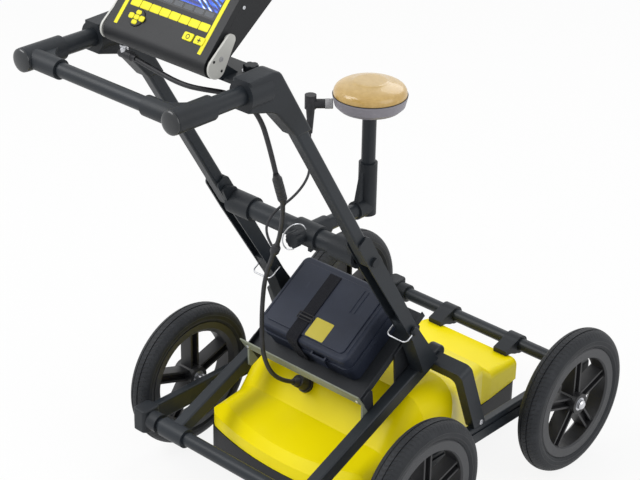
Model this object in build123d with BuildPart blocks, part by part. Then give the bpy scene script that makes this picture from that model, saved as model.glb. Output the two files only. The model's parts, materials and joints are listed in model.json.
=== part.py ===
"""Ground penetrating radar push cart, in millimetres.

Origin on the ground under the middle of the cart's length, +X right, +Y forward, +Z up.
"""

import os
from math import atan, cos, hypot, radians, sin, tan

from build123d import *

os.makedirs("parts", exist_ok=True)

# Driving sizes
overall_length = 1115.0
wheel_r = 155.0
wheelbase = 470.0
track = 626.0
tyre_width = 50.0
bead_r = 120.0
rim_width = 44.0
rim_inner_r = 97.0
hub_r = 22.0
hub_half = 26.0
leg_x = 180.0
lean = radians(31.0)
pivot_y = -87.5
pivot_z = 612.0
handle_z = 1025.0
display_lean = radians(41.6)
tray_slope = radians(34.0)
rail_slope = atan(0.44)

# Clearances
fit = 0.2
run = 0.06
gap = 0.3

# Stations that follow from the driving sizes
front_axle_y = overall_length / 2 - wheel_r
rear_axle_y = front_axle_y - wheelbase
wheel_x = track / 2
rear_tube_y = rear_axle_y - 176.0
front_tube_y = front_axle_y + 106.0
tube_r = 14.0
side_rail_x = wheel_x - 60.0
side_rail_w = 18.0
side_rail_h = 40.0
frame_rail_x = 168.0
frame_rail_w = 26.0
frame_rail_h = 30.0
frame_rail_length = 416.0
sleeve_half = 32.0
block = (36.0, 44.0, 48.0)

leg_plane = Plane(origin=(0, pivot_y, pivot_z), x_dir=(0, cos(lean), sin(lean)), z_dir=(1, 0, 0))
rail_plane = Plane(
    origin=(0, rear_tube_y, wheel_r), x_dir=(0, cos(rail_slope), sin(rail_slope)), z_dir=(1, 0, 0)
)
tray_y = -57.5
tray_z = 280.0
tray_side = Plane(
    origin=(0, tray_y, tray_z), x_dir=(0, cos(tray_slope), sin(tray_slope)), z_dir=(1, 0, 0)
)
tray_face = Plane(origin=(0, tray_y, tray_z), x_dir=(1, 0, 0), z_dir=(0, -sin(tray_slope), cos(tray_slope)))
tilt_y = pivot_y - 322.0
tilt_z = handle_z + 34.0
display_face = Plane(
    origin=(0, tilt_y, tilt_z), x_dir=(1, 0, 0), z_dir=(0, -cos(display_lean), sin(display_lean))
)
display_side = Plane(
    origin=(0, tilt_y, tilt_z), x_dir=(0, sin(display_lean), cos(display_lean)), z_dir=(1, 0, 0)
)


def save(part, label):
    part.label = label
    export_step(part, f"parts/{label}.step")


def axle_plane(x, y, z, side=1):
    """Sketch plane with local x along the axle, outward on the given side, and local y up."""
    return Plane(origin=(x, y, z), x_dir=(side, 0, 0), z_dir=(0, -side, 0))


def leg_point(n, run_up):
    """Y and Z of a point given across and along the leaning legs."""
    return (
        pivot_y + n * cos(lean) - run_up * sin(lean),
        pivot_z + n * sin(lean) + run_up * cos(lean),
    )


def cord(points, radius):
    """Round cord through the points, straight runs joined by tangent arcs."""
    corners = [Vector(*point) for point in points]
    radii = []
    for before, corner, after in zip(corners, corners[1:], corners[2:]):
        run_in = corner - before
        run_out = after - corner
        turn = radians(run_in.get_angle(run_out))
        radii.append(0.45 * min(run_in.length, run_out.length) / tan(turn / 2))
    with BuildPart() as tube:
        with BuildLine() as path:
            FilletPolyline(*corners, radius=radii)
        with BuildSketch(Plane(origin=corners[0], z_dir=corners[1] - corners[0])):
            Circle(radius)
        sweep()
    length = path.wires()[0].length
    section = 3.141593 * radius**2
    print("cord length", round(length), "smallest radius", round(min(radii)), "diameter", 2 * radius)
    print("cord volume share", round(tube.part.volume / (section * length), 3))
    return tube.part


# Wheels
wheel_sites = {
    "front_left": (-1, front_axle_y),
    "front_right": (1, front_axle_y),
    "rear_left": (-1, rear_axle_y),
    "rear_right": (1, rear_axle_y),
}
tyre_mid_r = 133.0
spoke_count = 5
bearing_r = 14.0
bearing_w = 8.0
axle_r = 6.0

for site, (side, axle_y) in wheel_sites.items():
    centre = (side * wheel_x, axle_y, wheel_r)
    axis = Axis(centre, (1, 0, 0))
    with BuildPart() as tyre:
        with BuildSketch(axle_plane(*centre, side)):
            with Locations((0, tyre_mid_r)):
                Ellipse(tyre_width / 2, wheel_r - tyre_mid_r)
            with Locations((0, bead_r - 20)):
                Rectangle(2 * tyre_width, 40, mode=Mode.SUBTRACT)
            with Locations((-7, wheel_r), (7, wheel_r)):
                Rectangle(2.5, 5, mode=Mode.SUBTRACT)
        revolve(axis=axis)
    save(tyre.part, f"tyre_{site}")

    with BuildPart() as rim:
        with BuildSketch(axle_plane(*centre, side)):
            with BuildLine():
                Polyline(
                    (-rim_width / 2, rim_inner_r + 9),
                    (-rim_width / 2, bead_r - fit),
                    (rim_width / 2 - 2, bead_r - fit),
                    (rim_width / 2, bead_r - 2 - fit),
                    (rim_width / 2, rim_inner_r + 3),
                    (rim_width / 2 - 4, rim_inner_r),
                    (-rim_width / 2 + 8, rim_inner_r),
                    close=True,
                )
            make_face()
        revolve(axis=axis)
        with BuildSketch(axle_plane(*centre, side)):
            with Locations((0, hub_r / 2)):
                Rectangle(2 * hub_half, hub_r)
        revolve(axis=axis)
        spoke_plane = Plane(origin=centre, x_dir=(0, 1, 0), z_dir=(1, 0, 0))
        spoke_reach = rim_inner_r - hub_r + 6
        with BuildSketch(spoke_plane):
            with PolarLocations(0, spoke_count, start_angle=18):
                with Locations((hub_r - 4 + spoke_reach / 2, 9), (hub_r - 4 + spoke_reach / 2, -9)):
                    Rectangle(spoke_reach, 4.5)
        extrude(amount=15, both=True)
        with BuildSketch(spoke_plane):
            with PolarLocations(0, spoke_count, start_angle=18):
                with Locations((hub_r - 4 + spoke_reach / 2, 0)):
                    Rectangle(spoke_reach, 20)
        extrude(amount=3, both=True)
        with BuildSketch(axle_plane(*centre, side)):
            with Locations((0, 4.5)):
                Rectangle(4 * hub_half, 9)
            seat_r = bearing_r + run
            with Locations((hub_half, seat_r / 2), (-hub_half, seat_r / 2)):
                Rectangle(2 * bearing_w, seat_r)
        revolve(axis=axis, mode=Mode.SUBTRACT)
    save(rim.part, f"rim_{site}")

# Axle stubs, their bearings, and the live axle that turns the odometer encoder
rail_in = side_rail_x - side_rail_w / 2 - wheel_x
rail_out = side_rail_x + side_rail_w / 2 - wheel_x
free_sites = ["front_left", "front_right", "rear_left"]
with BuildPart() as axle_bolts:
    for site in free_sites:
        side, axle_y = wheel_sites[site]
        centre = (side * wheel_x, axle_y, wheel_r)
        with BuildSketch(axle_plane(*centre, side)):
            with BuildLine():
                Polyline(
                    (rail_in - 9, 0),
                    (rail_in - 9, 11),
                    (rail_in - fit, 11),
                    (rail_in - fit, 8),
                    (rail_out + fit, 8),
                    (rail_out + fit, 11),
                    (-hub_half - 0.4, 11),
                    (-hub_half - 0.4, axle_r),
                    (hub_half + 0.4, axle_r),
                    (hub_half + 0.4, 10),
                    (hub_half + 5, 10),
                    (hub_half + 8, 7),
                    (hub_half + 8, 0),
                    close=True,
                )
            make_face()
        revolve(axis=Axis(centre, (1, 0, 0)))
save(axle_bolts.part, "axle_bolts")

with BuildPart() as wheel_bearings:
    for site in free_sites:
        side, axle_y = wheel_sites[site]
        centre = (side * wheel_x, axle_y, wheel_r)
        ring_mid = (bearing_r + axle_r + run) / 2
        with BuildSketch(axle_plane(*centre, side)):
            with Locations((hub_half - bearing_w / 2, ring_mid), (bearing_w / 2 - hub_half, ring_mid)):
                Rectangle(bearing_w - 2 * gap, bearing_r - axle_r - run)
        revolve(axis=Axis(centre, (1, 0, 0)))
save(wheel_bearings.part, "wheel_bearings")

drive_side, drive_y = wheel_sites["rear_right"]
drive_centre = (drive_side * wheel_x, drive_y, wheel_r)
encoder_in = rail_in - 17.0
with BuildPart() as drive_axle:
    with BuildSketch(axle_plane(*drive_centre, drive_side)):
        with BuildLine():
            Polyline(
                (encoder_in + 10, 0),
                (encoder_in + 10, 8),
                (rail_out + 0.6, 8),
                (rail_out + 0.6, 11),
                (-hub_half - 0.2, 11),
                (-hub_half - 0.2, bearing_r - run),
                (-hub_half + bearing_w - 0.1, bearing_r - run),
                (-hub_half + bearing_w - 0.1, 9 - run),
                (hub_half - bearing_w + 0.1, 9 - run),
                (hub_half - bearing_w + 0.1, bearing_r - run),
                (hub_half + 0.2, bearing_r - run),
                (hub_half + 0.2, 10),
                (hub_half + 5, 10),
                (hub_half + 8, 7),
                (hub_half + 8, 0),
                close=True,
            )
        make_face()
    revolve(axis=Axis(drive_centre, (1, 0, 0)))
save(drive_axle.part, "drive_axle")

with BuildPart() as encoder:
    with BuildSketch(axle_plane(*drive_centre, drive_side)):
        with BuildLine():
            Polyline(
                (encoder_in, 0),
                (encoder_in, 17),
                (encoder_in + 3, 20),
                (rail_in - 8, 20),
                (rail_in - 8, 26),
                (rail_in - fit, 26),
                (rail_in - fit, 8 + run),
                (encoder_in + 10 - gap, 8 + run),
                (encoder_in + 10 - gap, 0),
                close=True,
            )
        make_face()
    revolve(axis=Axis(drive_centre, (1, 0, 0)))
save(encoder.part, "encoder")

# Base frame: side rails, cross tubes, corner blocks
rail_rear_y = rear_tube_y + block[1] / 2 + fit
rail_front_y = front_tube_y - block[1] / 2 - fit
with BuildPart() as side_rails:
    for side in (-1, 1):
        with BuildSketch(Plane.XZ.offset(-rail_rear_y)):
            with Locations((side * side_rail_x, wheel_r)):
                RectangleRounded(side_rail_w, side_rail_h, 4)
            with Locations((side * (side_rail_x + side_rail_w / 2), wheel_r + 8)):
                Rectangle(5, 6, mode=Mode.SUBTRACT)
        extrude(amount=rail_rear_y - rail_front_y)
    for side, axle_y in wheel_sites.values():
        bore_r = 8 + run if (side, axle_y) == (drive_side, drive_y) else 8 + fit
        with BuildSketch(Plane.YZ):
            with Locations((axle_y, wheel_r)):
                Circle(bore_r)
        extrude(amount=side * 400, mode=Mode.SUBTRACT)
save(side_rails.part, "side_rails")

tube_end = side_rail_x - block[0] / 2 - fit
block_socket = 0.69 * (tube_end - frame_rail_x - sleeve_half)
with BuildPart() as base_cross_tubes:
    with BuildSketch(Plane.YZ.offset(-tube_end)):
        with Locations((rear_tube_y, wheel_r), (front_tube_y, wheel_r)):
            Circle(tube_r)
            Circle(tube_r - 2.5, mode=Mode.SUBTRACT)
    extrude(amount=2 * tube_end)
save(base_cross_tubes.part, "base_cross_tubes")

with BuildPart() as corner_blocks:
    for side in (-1, 1):
        for tube_y in (rear_tube_y, front_tube_y):
            with BuildSketch(Plane.XY.offset(wheel_r - block[2] / 2)):
                with Locations((side * side_rail_x, tube_y)):
                    RectangleRounded(block[0], block[1], 9)
            extrude(amount=block[2])
    fillet(corner_blocks.faces().sort_by(Axis.Z)[-4:].edges(), 4)
    for side in (-1, 1):
        for tube_y in (rear_tube_y, front_tube_y):
            with BuildSketch(Plane.YZ.offset(side * (tube_end + fit))):
                with Locations((tube_y, wheel_r)):
                    Circle(tube_r + 6)
                    Circle(tube_r + fit, mode=Mode.SUBTRACT)
            extrude(amount=-side * block_socket)
save(corner_blocks.part, "corner_blocks")

# Sloping frame rails with their sleeves on the rear tube
with BuildPart() as frame_rails:
    for side in (-1, 1):
        with BuildSketch(rail_plane.offset(side * frame_rail_x)):
            with Locations((frame_rail_length / 2, 0)):
                SlotOverall(frame_rail_length + frame_rail_h, frame_rail_h)
        extrude(amount=frame_rail_w / 2, both=True)
    fillet(frame_rails.edges().filter_by(GeomType.LINE).filter_by(Axis.X, reverse=True), 4)
    for reach, radius, mode in (
        (sleeve_half, tube_r + 6, Mode.ADD),
        (2 * sleeve_half, tube_r + fit, Mode.SUBTRACT),
    ):
        for side in (-1, 1):
            with BuildSketch(rail_plane.offset(side * frame_rail_x)):
                Circle(radius)
            extrude(amount=reach, both=True, mode=mode)
save(frame_rails.part, "frame_rails")

# Outriggers from the rail's upper end out and down to the side rail
outrigger_thick = 22.0
outrigger_deep = 32.0
apex = rail_plane.from_local_coords(Vector(frame_rail_length - 18, -4, 0))
drop = Vector(0, 55, -150).normalized()
outrigger_in = frame_rail_x + frame_rail_w / 2 + fit
side_rail_top = wheel_r + side_rail_h / 2 + fit
with BuildPart() as outriggers:
    for side in (-1, 1):
        face = Plane(
            origin=(0, apex.Y, apex.Z), x_dir=(side, 0, 0), z_dir=Vector(side, 0, 0).cross(drop)
        )
        outer = side_rail_x + side_rail_w / 2
        with BuildSketch(face) as bar:
            with BuildLine():
                Polyline(
                    (outrigger_in, -outrigger_thick / 2),
                    (outer, -outrigger_thick / 2),
                    (outer, 240),
                    (outer - outrigger_thick, 240),
                    (outer - outrigger_thick, outrigger_thick / 2),
                    (outrigger_in, outrigger_thick / 2),
                    close=True,
                )
            make_face()
            bends = [v for v in bar.vertices() if v.X > outer - outrigger_thick - 1 and v.Y < outrigger_thick]
            fillet(bends, 14)
        extrude(amount=outrigger_deep / 2, both=True)
    split(bisect_by=Plane.XY.offset(side_rail_top), keep=Keep.TOP)
save(outriggers.part, "outriggers")

# Legs: open channels whose tops hold the folding uprights, and the brackets under them
upright_w = 26.0
upright_d = 25.0
upright_top = 490.0
channel_w = 35.0
cheek = 4.0
channel_top = 62.0
channel_low = -245.0
lock_run = -222.0
lock_n = 3.0
pin_r = 5.0
web_n = upright_d / 2 + 0.5
rail_top = rail_plane.from_local_coords(Vector(0, frame_rail_h / 2 + fit, 0))
rail_top_plane = Plane(origin=rail_top, x_dir=(1, 0, 0), z_dir=(0, -sin(rail_slope), cos(rail_slope)))

with BuildPart() as leg_channels:
    for side in (-1, 1):
        with BuildSketch(leg_plane.offset(side * leg_x)) as outline:
            with BuildLine():
                Polyline(
                    (-8, channel_low),
                    (web_n + cheek, channel_low),
                    (web_n + cheek, channel_top),
                    (-14, channel_top),
                    (-14, -20),
                    close=True,
                )
            make_face()
            fillet(outline.vertices().group_by(Axis.Y)[-1], 12)
        extrude(amount=channel_w / 2, both=True)
        with BuildSketch(leg_plane.offset(side * leg_x)):
            with Locations((web_n - 50, 0)):
                Rectangle(100, 800)
        extrude(amount=upright_w / 2 + 0.5, both=True, mode=Mode.SUBTRACT)
        with BuildSketch(leg_plane.offset(side * leg_x)):
            with Locations((0, 0), (lock_n, lock_run)):
                Circle(pin_r + fit)
        extrude(amount=channel_w, both=True, mode=Mode.SUBTRACT)
save(leg_channels.part, "leg_channels")

with BuildPart() as base_brackets:
    for side in (-1, 1):
        with BuildSketch(leg_plane.offset(side * leg_x)):
            with Locations((2.2, (lock_run + 36 + channel_low - 120) / 2)):
                Rectangle(2 * (web_n - 2.2 - gap), lock_run + 36 - channel_low + 120)
        extrude(amount=upright_w / 2 + 0.2, both=True)
        with BuildSketch(leg_plane.offset(side * leg_x)):
            with BuildLine():
                Polyline(
                    (-8, channel_low - fit),
                    (web_n + cheek, channel_low - fit),
                    (web_n + cheek + 10, channel_low - 140),
                    (-26, channel_low - 140),
                    close=True,
                )
            make_face()
        extrude(amount=channel_w / 2, both=True)
        with BuildSketch(leg_plane.offset(side * leg_x)):
            with Locations((lock_n, lock_run)):
                Circle(pin_r + fit)
        extrude(amount=channel_w, both=True, mode=Mode.SUBTRACT)
    split(bisect_by=rail_top_plane, keep=Keep.TOP)
save(base_brackets.part, "base_brackets")

pin_head_r = 9.0
lock_head = 10.0
head_chamfer = 3.0
head_out = channel_w / 2 + fit
lock_tip = channel_w / 2 + 5.5
with BuildPart() as leg_pins:
    for side in (-1, 1):
        outer_face = leg_plane.offset(side * (leg_x + head_out))
        with BuildSketch(outer_face):
            Circle(pin_head_r)
        extrude(amount=side * 5)
        with BuildSketch(outer_face):
            with Locations((lock_n, lock_run)):
                Circle(pin_head_r)
        extrude(amount=side * lock_head)
        with BuildSketch(outer_face):
            Circle(pin_r)
        extrude(amount=-side * (channel_w + 2))
        with BuildSketch(outer_face):
            with Locations((lock_n, lock_run)):
                Circle(pin_r)
        extrude(amount=-side * (head_out + lock_tip))
    head_rims = [
        edge for edge in leg_pins.edges().filter_by(GeomType.CIRCLE)
        if edge.radius > pin_head_r - 1 and edge.center().Z < pivot_z + lock_run / 2
    ]
    chamfer(head_rims, head_chamfer)
save(leg_pins.part, "leg_pins")

# Wire bails of the lock pins, hooked round the rear of each leg
bail_r = 1.6
bail_reach = 29.0
bail_start = hypot(pin_head_r, lock_head / 2 - head_chamfer) + gap
bail_x = leg_x + head_out + lock_head / 2
for name, side in (("left", -1), ("right", 1)):
    bail_plane = Plane(
        origin=leg_plane.from_local_coords(Vector(lock_n, lock_run, 0)),
        x_dir=(side, 0, 0),
        z_dir=Vector(side, 0, 0).cross(-leg_plane.x_dir),
    )
    with BuildPart() as bail:
        with BuildLine(bail_plane) as wire:
            FilletPolyline(
                (bail_x, bail_start),
                (bail_x, bail_reach),
                (leg_x - lock_tip - 3, bail_reach),
                (leg_x - lock_tip - 3, -4),
                radius=9,
            )
        with BuildSketch(Plane(origin=wire.line @ 0, z_dir=wire.line % 0)):
            Circle(bail_r)
        sweep()
    save(bail.part, f"pin_bail_{name}")

# Cross tube between the legs and its end sockets
mid_tube_r = 19.0
socket_r = 24.0
socket_out = leg_x - channel_w / 2 - fit
with BuildPart() as cross_sockets:
    for side in (-1, 1):
        with BuildSketch(leg_plane.offset(side * socket_out)):
            Circle(socket_r)
            Circle(mid_tube_r + fit, mode=Mode.SUBTRACT)
        extrude(amount=-side * 58)
        with BuildSketch(leg_plane.offset(side * socket_out)) as ears:
            with BuildLine():
                Polyline((0, -34), (17, -26), (17, 26), (0, 46), (-12, 46), (-17, 0), (-12, -34), close=True)
            make_face()
            fillet(ears.vertices(), 5)
            Circle(mid_tube_r + fit, mode=Mode.SUBTRACT)
        extrude(amount=-side * 7)
save(cross_sockets.part, "cross_sockets")

with BuildPart() as mid_cross_tube:
    with BuildSketch(leg_plane.offset(-socket_out + fit)):
        Circle(mid_tube_r)
        Circle(mid_tube_r - 2.5, mode=Mode.SUBTRACT)
    extrude(amount=2 * (socket_out - fit))
save(mid_cross_tube.part, "mid_cross_tube")

# Satellite receiver on its clamp, arm, elbow and mast
receiver_x = 38.0
mast_y = 70.5
arm_z = pivot_z + 4
arm_r = 14.0
mast_r = 13.5
elbow_r = 18.0
elbow_top = 707.0
mast_seat = elbow_top - arm_z - 25
puck_low = 818.0
puck_rim = 845.0
puck_top = 873.0
puck_r = 70.0
clamp_front = pivot_y + 44
clamp_rear = pivot_y - 32
cross_plane = Plane(origin=(receiver_x, pivot_y, arm_z), x_dir=(1, 0, 0), z_dir=(0, 1, 0))
with BuildPart() as receiver_clamp:
    with BuildSketch(Plane.YZ.offset(receiver_x)):
        with Locations((pivot_y, pivot_z)):
            Circle(socket_r)
    extrude(amount=29, both=True)
    with BuildSketch(cross_plane):
        Circle(elbow_r)
    extrude(amount=clamp_front - pivot_y)
    with BuildSketch(cross_plane):
        Circle(13)
    extrude(amount=clamp_rear - pivot_y)
    with BuildSketch(Plane.YZ.offset(receiver_x)):
        with BuildLine():
            Polyline(
                (pivot_y, pivot_z - 37),
                (pivot_y + 16, pivot_z - 32),
                (clamp_front - 4, pivot_z),
                (pivot_y, pivot_z + 8),
                close=True,
            )
        make_face()
    extrude(amount=4, both=True)
    with BuildSketch(Plane.YZ.offset(receiver_x)):
        with Locations((pivot_y, pivot_z)):
            Circle(mid_tube_r + fit)
    extrude(amount=60, both=True, mode=Mode.SUBTRACT)
    with BuildSketch(Plane(origin=(receiver_x, clamp_front, arm_z), x_dir=(1, 0, 0), z_dir=(0, -1, 0))):
        Circle(arm_r + fit)
    extrude(amount=18, mode=Mode.SUBTRACT)
    with BuildSketch(Plane(origin=(receiver_x, clamp_rear, arm_z), x_dir=(1, 0, 0), z_dir=(0, 1, 0))):
        Circle(4 + run)
    extrude(amount=9, mode=Mode.SUBTRACT)
save(receiver_clamp.part, "receiver_clamp")

with BuildPart() as clamp_knob:
    knob_plane = Plane(origin=(receiver_x, clamp_rear - gap, arm_z), x_dir=(-1, 0, 0), z_dir=(0, -1, 0))
    with BuildSketch(knob_plane):
        Circle(15.5)
        with PolarLocations(17.5, 8):
            Circle(3.5, mode=Mode.SUBTRACT)
    extrude(amount=17)
    fillet(clamp_knob.faces().sort_by(Axis.Y)[0].edges(), 1.5)
    with BuildSketch(knob_plane):
        Circle(4)
    extrude(amount=-8.5)
save(clamp_knob.part, "clamp_knob")

elbow_mouth = mast_y - 34
with BuildPart() as receiver_arm:
    with BuildSketch(Plane(origin=(receiver_x, clamp_front - 17.5, arm_z), x_dir=(1, 0, 0), z_dir=(0, 1, 0))):
        Circle(arm_r)
        Circle(arm_r - 2.5, mode=Mode.SUBTRACT)
    extrude(amount=elbow_mouth + 15.5 - clamp_front + 17.5)
save(receiver_arm.part, "receiver_arm")

with BuildPart() as receiver_elbow:
    with BuildSketch(Plane(origin=(receiver_x, mast_y, arm_z - elbow_r + 2))):
        Circle(elbow_r)
    extrude(amount=elbow_top - arm_z + elbow_r - 2)
    with BuildSketch(Plane(origin=(receiver_x, elbow_mouth, arm_z), x_dir=(1, 0, 0), z_dir=(0, 1, 0))):
        Circle(elbow_r)
    extrude(amount=mast_y - elbow_mouth)
    with BuildSketch(Plane.YZ.offset(receiver_x)):
        with BuildLine():
            Line((mast_y, elbow_top - 8), (mast_y - 16, elbow_top - 8))
            Line((mast_y - 16, elbow_top - 8), (elbow_mouth + 2, arm_z + 16))
            Polyline((elbow_mouth + 2, arm_z + 16), (elbow_mouth + 2, arm_z), (mast_y, arm_z))
            Line((mast_y, arm_z), (mast_y, elbow_top - 8))
        make_face()
    extrude(amount=5, both=True)
    with BuildSketch(Plane.XY.offset(elbow_top)):
        with Locations((receiver_x, mast_y)):
            Circle(mast_r + fit)
    extrude(amount=-mast_seat, mode=Mode.SUBTRACT)
    with BuildSketch(Plane(origin=(receiver_x, elbow_mouth, arm_z), x_dir=(1, 0, 0), z_dir=(0, 1, 0))):
        Circle(arm_r + fit)
    extrude(amount=16, mode=Mode.SUBTRACT)
save(receiver_elbow.part, "receiver_elbow")

with BuildPart() as receiver_mast:
    with BuildSketch(Plane.XY.offset(elbow_top - mast_seat + fit)):
        with Locations((receiver_x, mast_y)):
            Circle(mast_r)
            Circle(mast_r - 2, mode=Mode.SUBTRACT)
    extrude(amount=puck_low - elbow_top + mast_seat - 2 * fit)
save(receiver_mast.part, "receiver_mast")

puck_axis = Axis((receiver_x, mast_y, 0), (0, 0, 1))
puck_plane = Plane(origin=(receiver_x, mast_y, 0), x_dir=(1, 0, 0), z_dir=(0, -1, 0))
with BuildPart() as receiver_base:
    with BuildSketch(puck_plane):
        with BuildLine():
            Polyline(
                (0, puck_low),
                (puck_r - 11, puck_low),
                (puck_r - 4, puck_low + 7),
                (puck_r, puck_rim - 4),
                (puck_r, puck_rim),
                (0, puck_rim),
                close=True,
            )
        make_face()
    revolve(axis=puck_axis)
save(receiver_base.part, "receiver_base")

with BuildPart() as receiver_dome:
    with BuildSketch(puck_plane):
        with BuildLine():
            Line((0, puck_rim + fit), (puck_r - 1, puck_rim + fit))
            Spline(
                (puck_r - 1, puck_rim + fit),
                (puck_r - 7, puck_rim + 15),
                (puck_r - 34, puck_top - 3),
                (0, puck_top),
                tangents=((0, 1), (-1, 0)),
            )
            Line((0, puck_top), (0, puck_rim + fit))
        make_face()
    revolve(axis=puck_axis)
save(receiver_dome.part, "receiver_dome")

plug_way = Vector(-0.7071, -0.7071, 0)
plug_hub = Vector(receiver_x, mast_y, puck_low + 7) + plug_way * (puck_r + 40)
boot_low = puck_low - 52
with BuildPart() as receiver_plug:
    with BuildSketch(Plane(origin=plug_hub - plug_way * 41.6, z_dir=plug_way)):
        Circle(9)
    extrude(amount=50)
    with BuildSketch(Plane.XY.offset(plug_hub.Z + 18)):
        with Locations((plug_hub.X, plug_hub.Y)):
            Circle(11)
    extrude(amount=-27)
    with BuildSketch(Plane.XY.offset(plug_hub.Z - 9)):
        with Locations((plug_hub.X, plug_hub.Y)):
            Circle(8.5)
    with BuildSketch(Plane.XY.offset(boot_low)):
        with Locations((plug_hub.X, plug_hub.Y)):
            Circle(4.5)
    loft()
save(receiver_plug.part, "receiver_plug")

# Radar housing: base pan, two covers, and the boards inside
pan_low = 22.0
pan_top = 96.0
wall = 4.0
housing_half = side_rail_x - 33.0
neck_half = side_rail_x - 110.0
nose_half = side_rail_x - 123.0
housing_rear = rear_axle_y - 73.0
rear_bow = 36.0
seam_y = rear_axle_y + 120.0
brow_y = rear_axle_y + 205.0
neck_y = front_axle_y - 70.0
nose_y = front_axle_y + 67.0


def housing_plan(inset):
    """Outline of the housing seen from above, moved inwards."""
    half = housing_half - inset
    rear = housing_rear + inset
    marks = [
        (half, rear + rear_bow),
        (half, brow_y - inset / 4),
        (neck_half - inset, neck_y - inset / 2),
        (nose_half - inset, nose_y - inset),
    ]
    with BuildSketch(mode=Mode.PRIVATE) as plan:
        with BuildLine():
            Polyline(*marks, *[(-x, y) for x, y in reversed(marks)])
            ThreePointArc(marks[0], (0, rear), (-half, rear + rear_bow))
        make_face()
        fillet(plan.vertices().group_by(Axis.Y)[0], 40 - inset)
        fillet(plan.vertices().group_by(Axis.Y)[-1], 24 - inset)
    return plan.sketch


with BuildPart() as antenna_base:
    with BuildSketch(Plane.XY.offset(pan_low)):
        add(housing_plan(0))
    extrude(amount=pan_top - pan_low)
    fillet(antenna_base.faces().sort_by(Axis.Z)[0].edges(), 12)
    with BuildSketch(Plane.XY.offset(pan_low + 6)):
        add(housing_plan(8))
    extrude(amount=pan_top, mode=Mode.SUBTRACT)
save(antenna_base.part, "antenna_base")

cover_low = pan_top + fit
cover_half = housing_half - 2
kink_y = rear_axle_y + 40.0
kink_z = 166.0
deck_z = 137.0
seam_z = 262.0
rear_sections = [
    (housing_rear, cover_half, deck_z, 36),
    (kink_y, cover_half, kink_z, 60),
    (seam_y - fit, cover_half, seam_z, 60),
]
front_sections = [
    (seam_y + fit, cover_half, seam_z, 60),
    (brow_y, cover_half, seam_z + 8, 50),
    (neck_y, neck_half - 2, 190, 22),
    (neck_y + 35, neck_half - 4, 160, 18),
    (nose_y - 2, nose_half - 2, 145, 14),
]


def cover_plane(y):
    """Upright plane across the cart, with local y up."""
    return Plane(origin=(0, y, 0), x_dir=(1, 0, 0), z_dir=(0, -1, 0))


def cover_section(half, top, shoulder, low):
    """Section of a cover with two rounded shoulders."""
    with BuildSketch(mode=Mode.PRIVATE) as section:
        with BuildLine():
            Polyline((half, low), (half, top), (-half, top), (-half, low), close=True)
        make_face()
        fillet(section.vertices().group_by(Axis.Y)[-1], shoulder)
    return section.sketch


def rear_bevel(inset):
    """Body behind the slanting, bowed face that takes the edge off the rear deck."""
    with BuildPart(mode=Mode.PRIVATE) as bevel:
        for z, step in ((deck_z - 14, 2), (deck_z + 14, 26)):
            y = housing_rear + step + inset
            with BuildSketch(Plane.XY.offset(z - inset)):
                with BuildLine():
                    ThreePointArc((-housing_half, y + rear_bow), (0, y), (housing_half, y + rear_bow))
                    Polyline(
                        (housing_half, y + rear_bow),
                        (housing_half, housing_rear - 60),
                        (-housing_half, housing_rear - 60),
                        (-housing_half, y + rear_bow),
                    )
                make_face()
        loft(ruled=True)
    return bevel.part


with BuildPart() as rear_cover:
    for y, half, top, shoulder in rear_sections:
        with BuildSketch(cover_plane(y)):
            add(cover_section(half, top, shoulder, cover_low))
    loft(ruled=True)
    with BuildSketch(Plane.XY.offset(cover_low)):
        add(housing_plan(2))
    extrude(amount=seam_z, mode=Mode.INTERSECT)
    add(rear_bevel(0), mode=Mode.SUBTRACT)
    with BuildPart(mode=Mode.PRIVATE) as hollow:
        for y, half, top, shoulder in rear_sections:
            reach = 1 if y > kink_y else 0
            with BuildSketch(cover_plane(y + reach)):
                add(cover_section(half - wall, top - wall, shoulder - wall, cover_low - 1))
        loft(ruled=True)
        with BuildSketch(Plane.XY.offset(cover_low - 1)):
            add(housing_plan(2 + wall))
        extrude(amount=seam_z, mode=Mode.INTERSECT)
        add(rear_bevel(wall), mode=Mode.SUBTRACT)
    add(hollow.part, mode=Mode.SUBTRACT)
save(rear_cover.part, "rear_cover")

with BuildPart() as front_cover:
    for inset, low, mode in ((0, cover_low, Mode.ADD), (wall, cover_low - 1, Mode.SUBTRACT)):
        for index, (y, half, top, shoulder) in enumerate(front_sections):
            shift = -1 if inset and index == 0 else -inset if inset and y > front_axle_y else 0
            with BuildSketch(cover_plane(y + shift)):
                add(cover_section(half - inset, top - inset, shoulder - inset, low))
        loft(ruled=True, mode=mode)
save(front_cover.part, "front_cover")

with BuildPart() as radar_electronics:
    with BuildSketch(Plane.XY.offset(pan_low + 6 + fit)):
        with Locations((0, seam_y - 35)):
            RectangleRounded(2 * housing_half - 76, 230, 8)
        with Locations((0, neck_y - 45)):
            RectangleRounded(200, 150, 8)
    extrude(amount=6)
    with BuildSketch(Plane.XY.offset(pan_low + 12 + 2 * fit)):
        with Locations((0, seam_y - 35)):
            RectangleRounded(200, 150, 10)
    extrude(amount=42)
    fillet(radar_electronics.faces().sort_by(Axis.Z)[-1].edges(), 4)
save(radar_electronics.part, "radar_electronics")

# Saddle clamps that tie the nose of the front cover to the front tube
with BuildPart() as cover_clamps:
    for x in (-90, 90):
        with BuildSketch(Plane.YZ.offset(x)):
            with BuildLine():
                Polyline(
                    (front_tube_y, wheel_r + 19),
                    (front_tube_y - 20, wheel_r + 14),
                    (nose_y - 14, 158),
                    (nose_y - 14, 148),
                    (nose_y + 4, 146.5),
                    (front_tube_y - 20, 140),
                    (front_tube_y, wheel_r - 19),
                    close=True,
                )
            make_face()
            with Locations((front_tube_y, wheel_r)):
                Circle(tube_r + 6)
                Circle(tube_r + fit, mode=Mode.SUBTRACT)
        extrude(amount=17, both=True)
save(cover_clamps.part, "cover_clamps")

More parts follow.
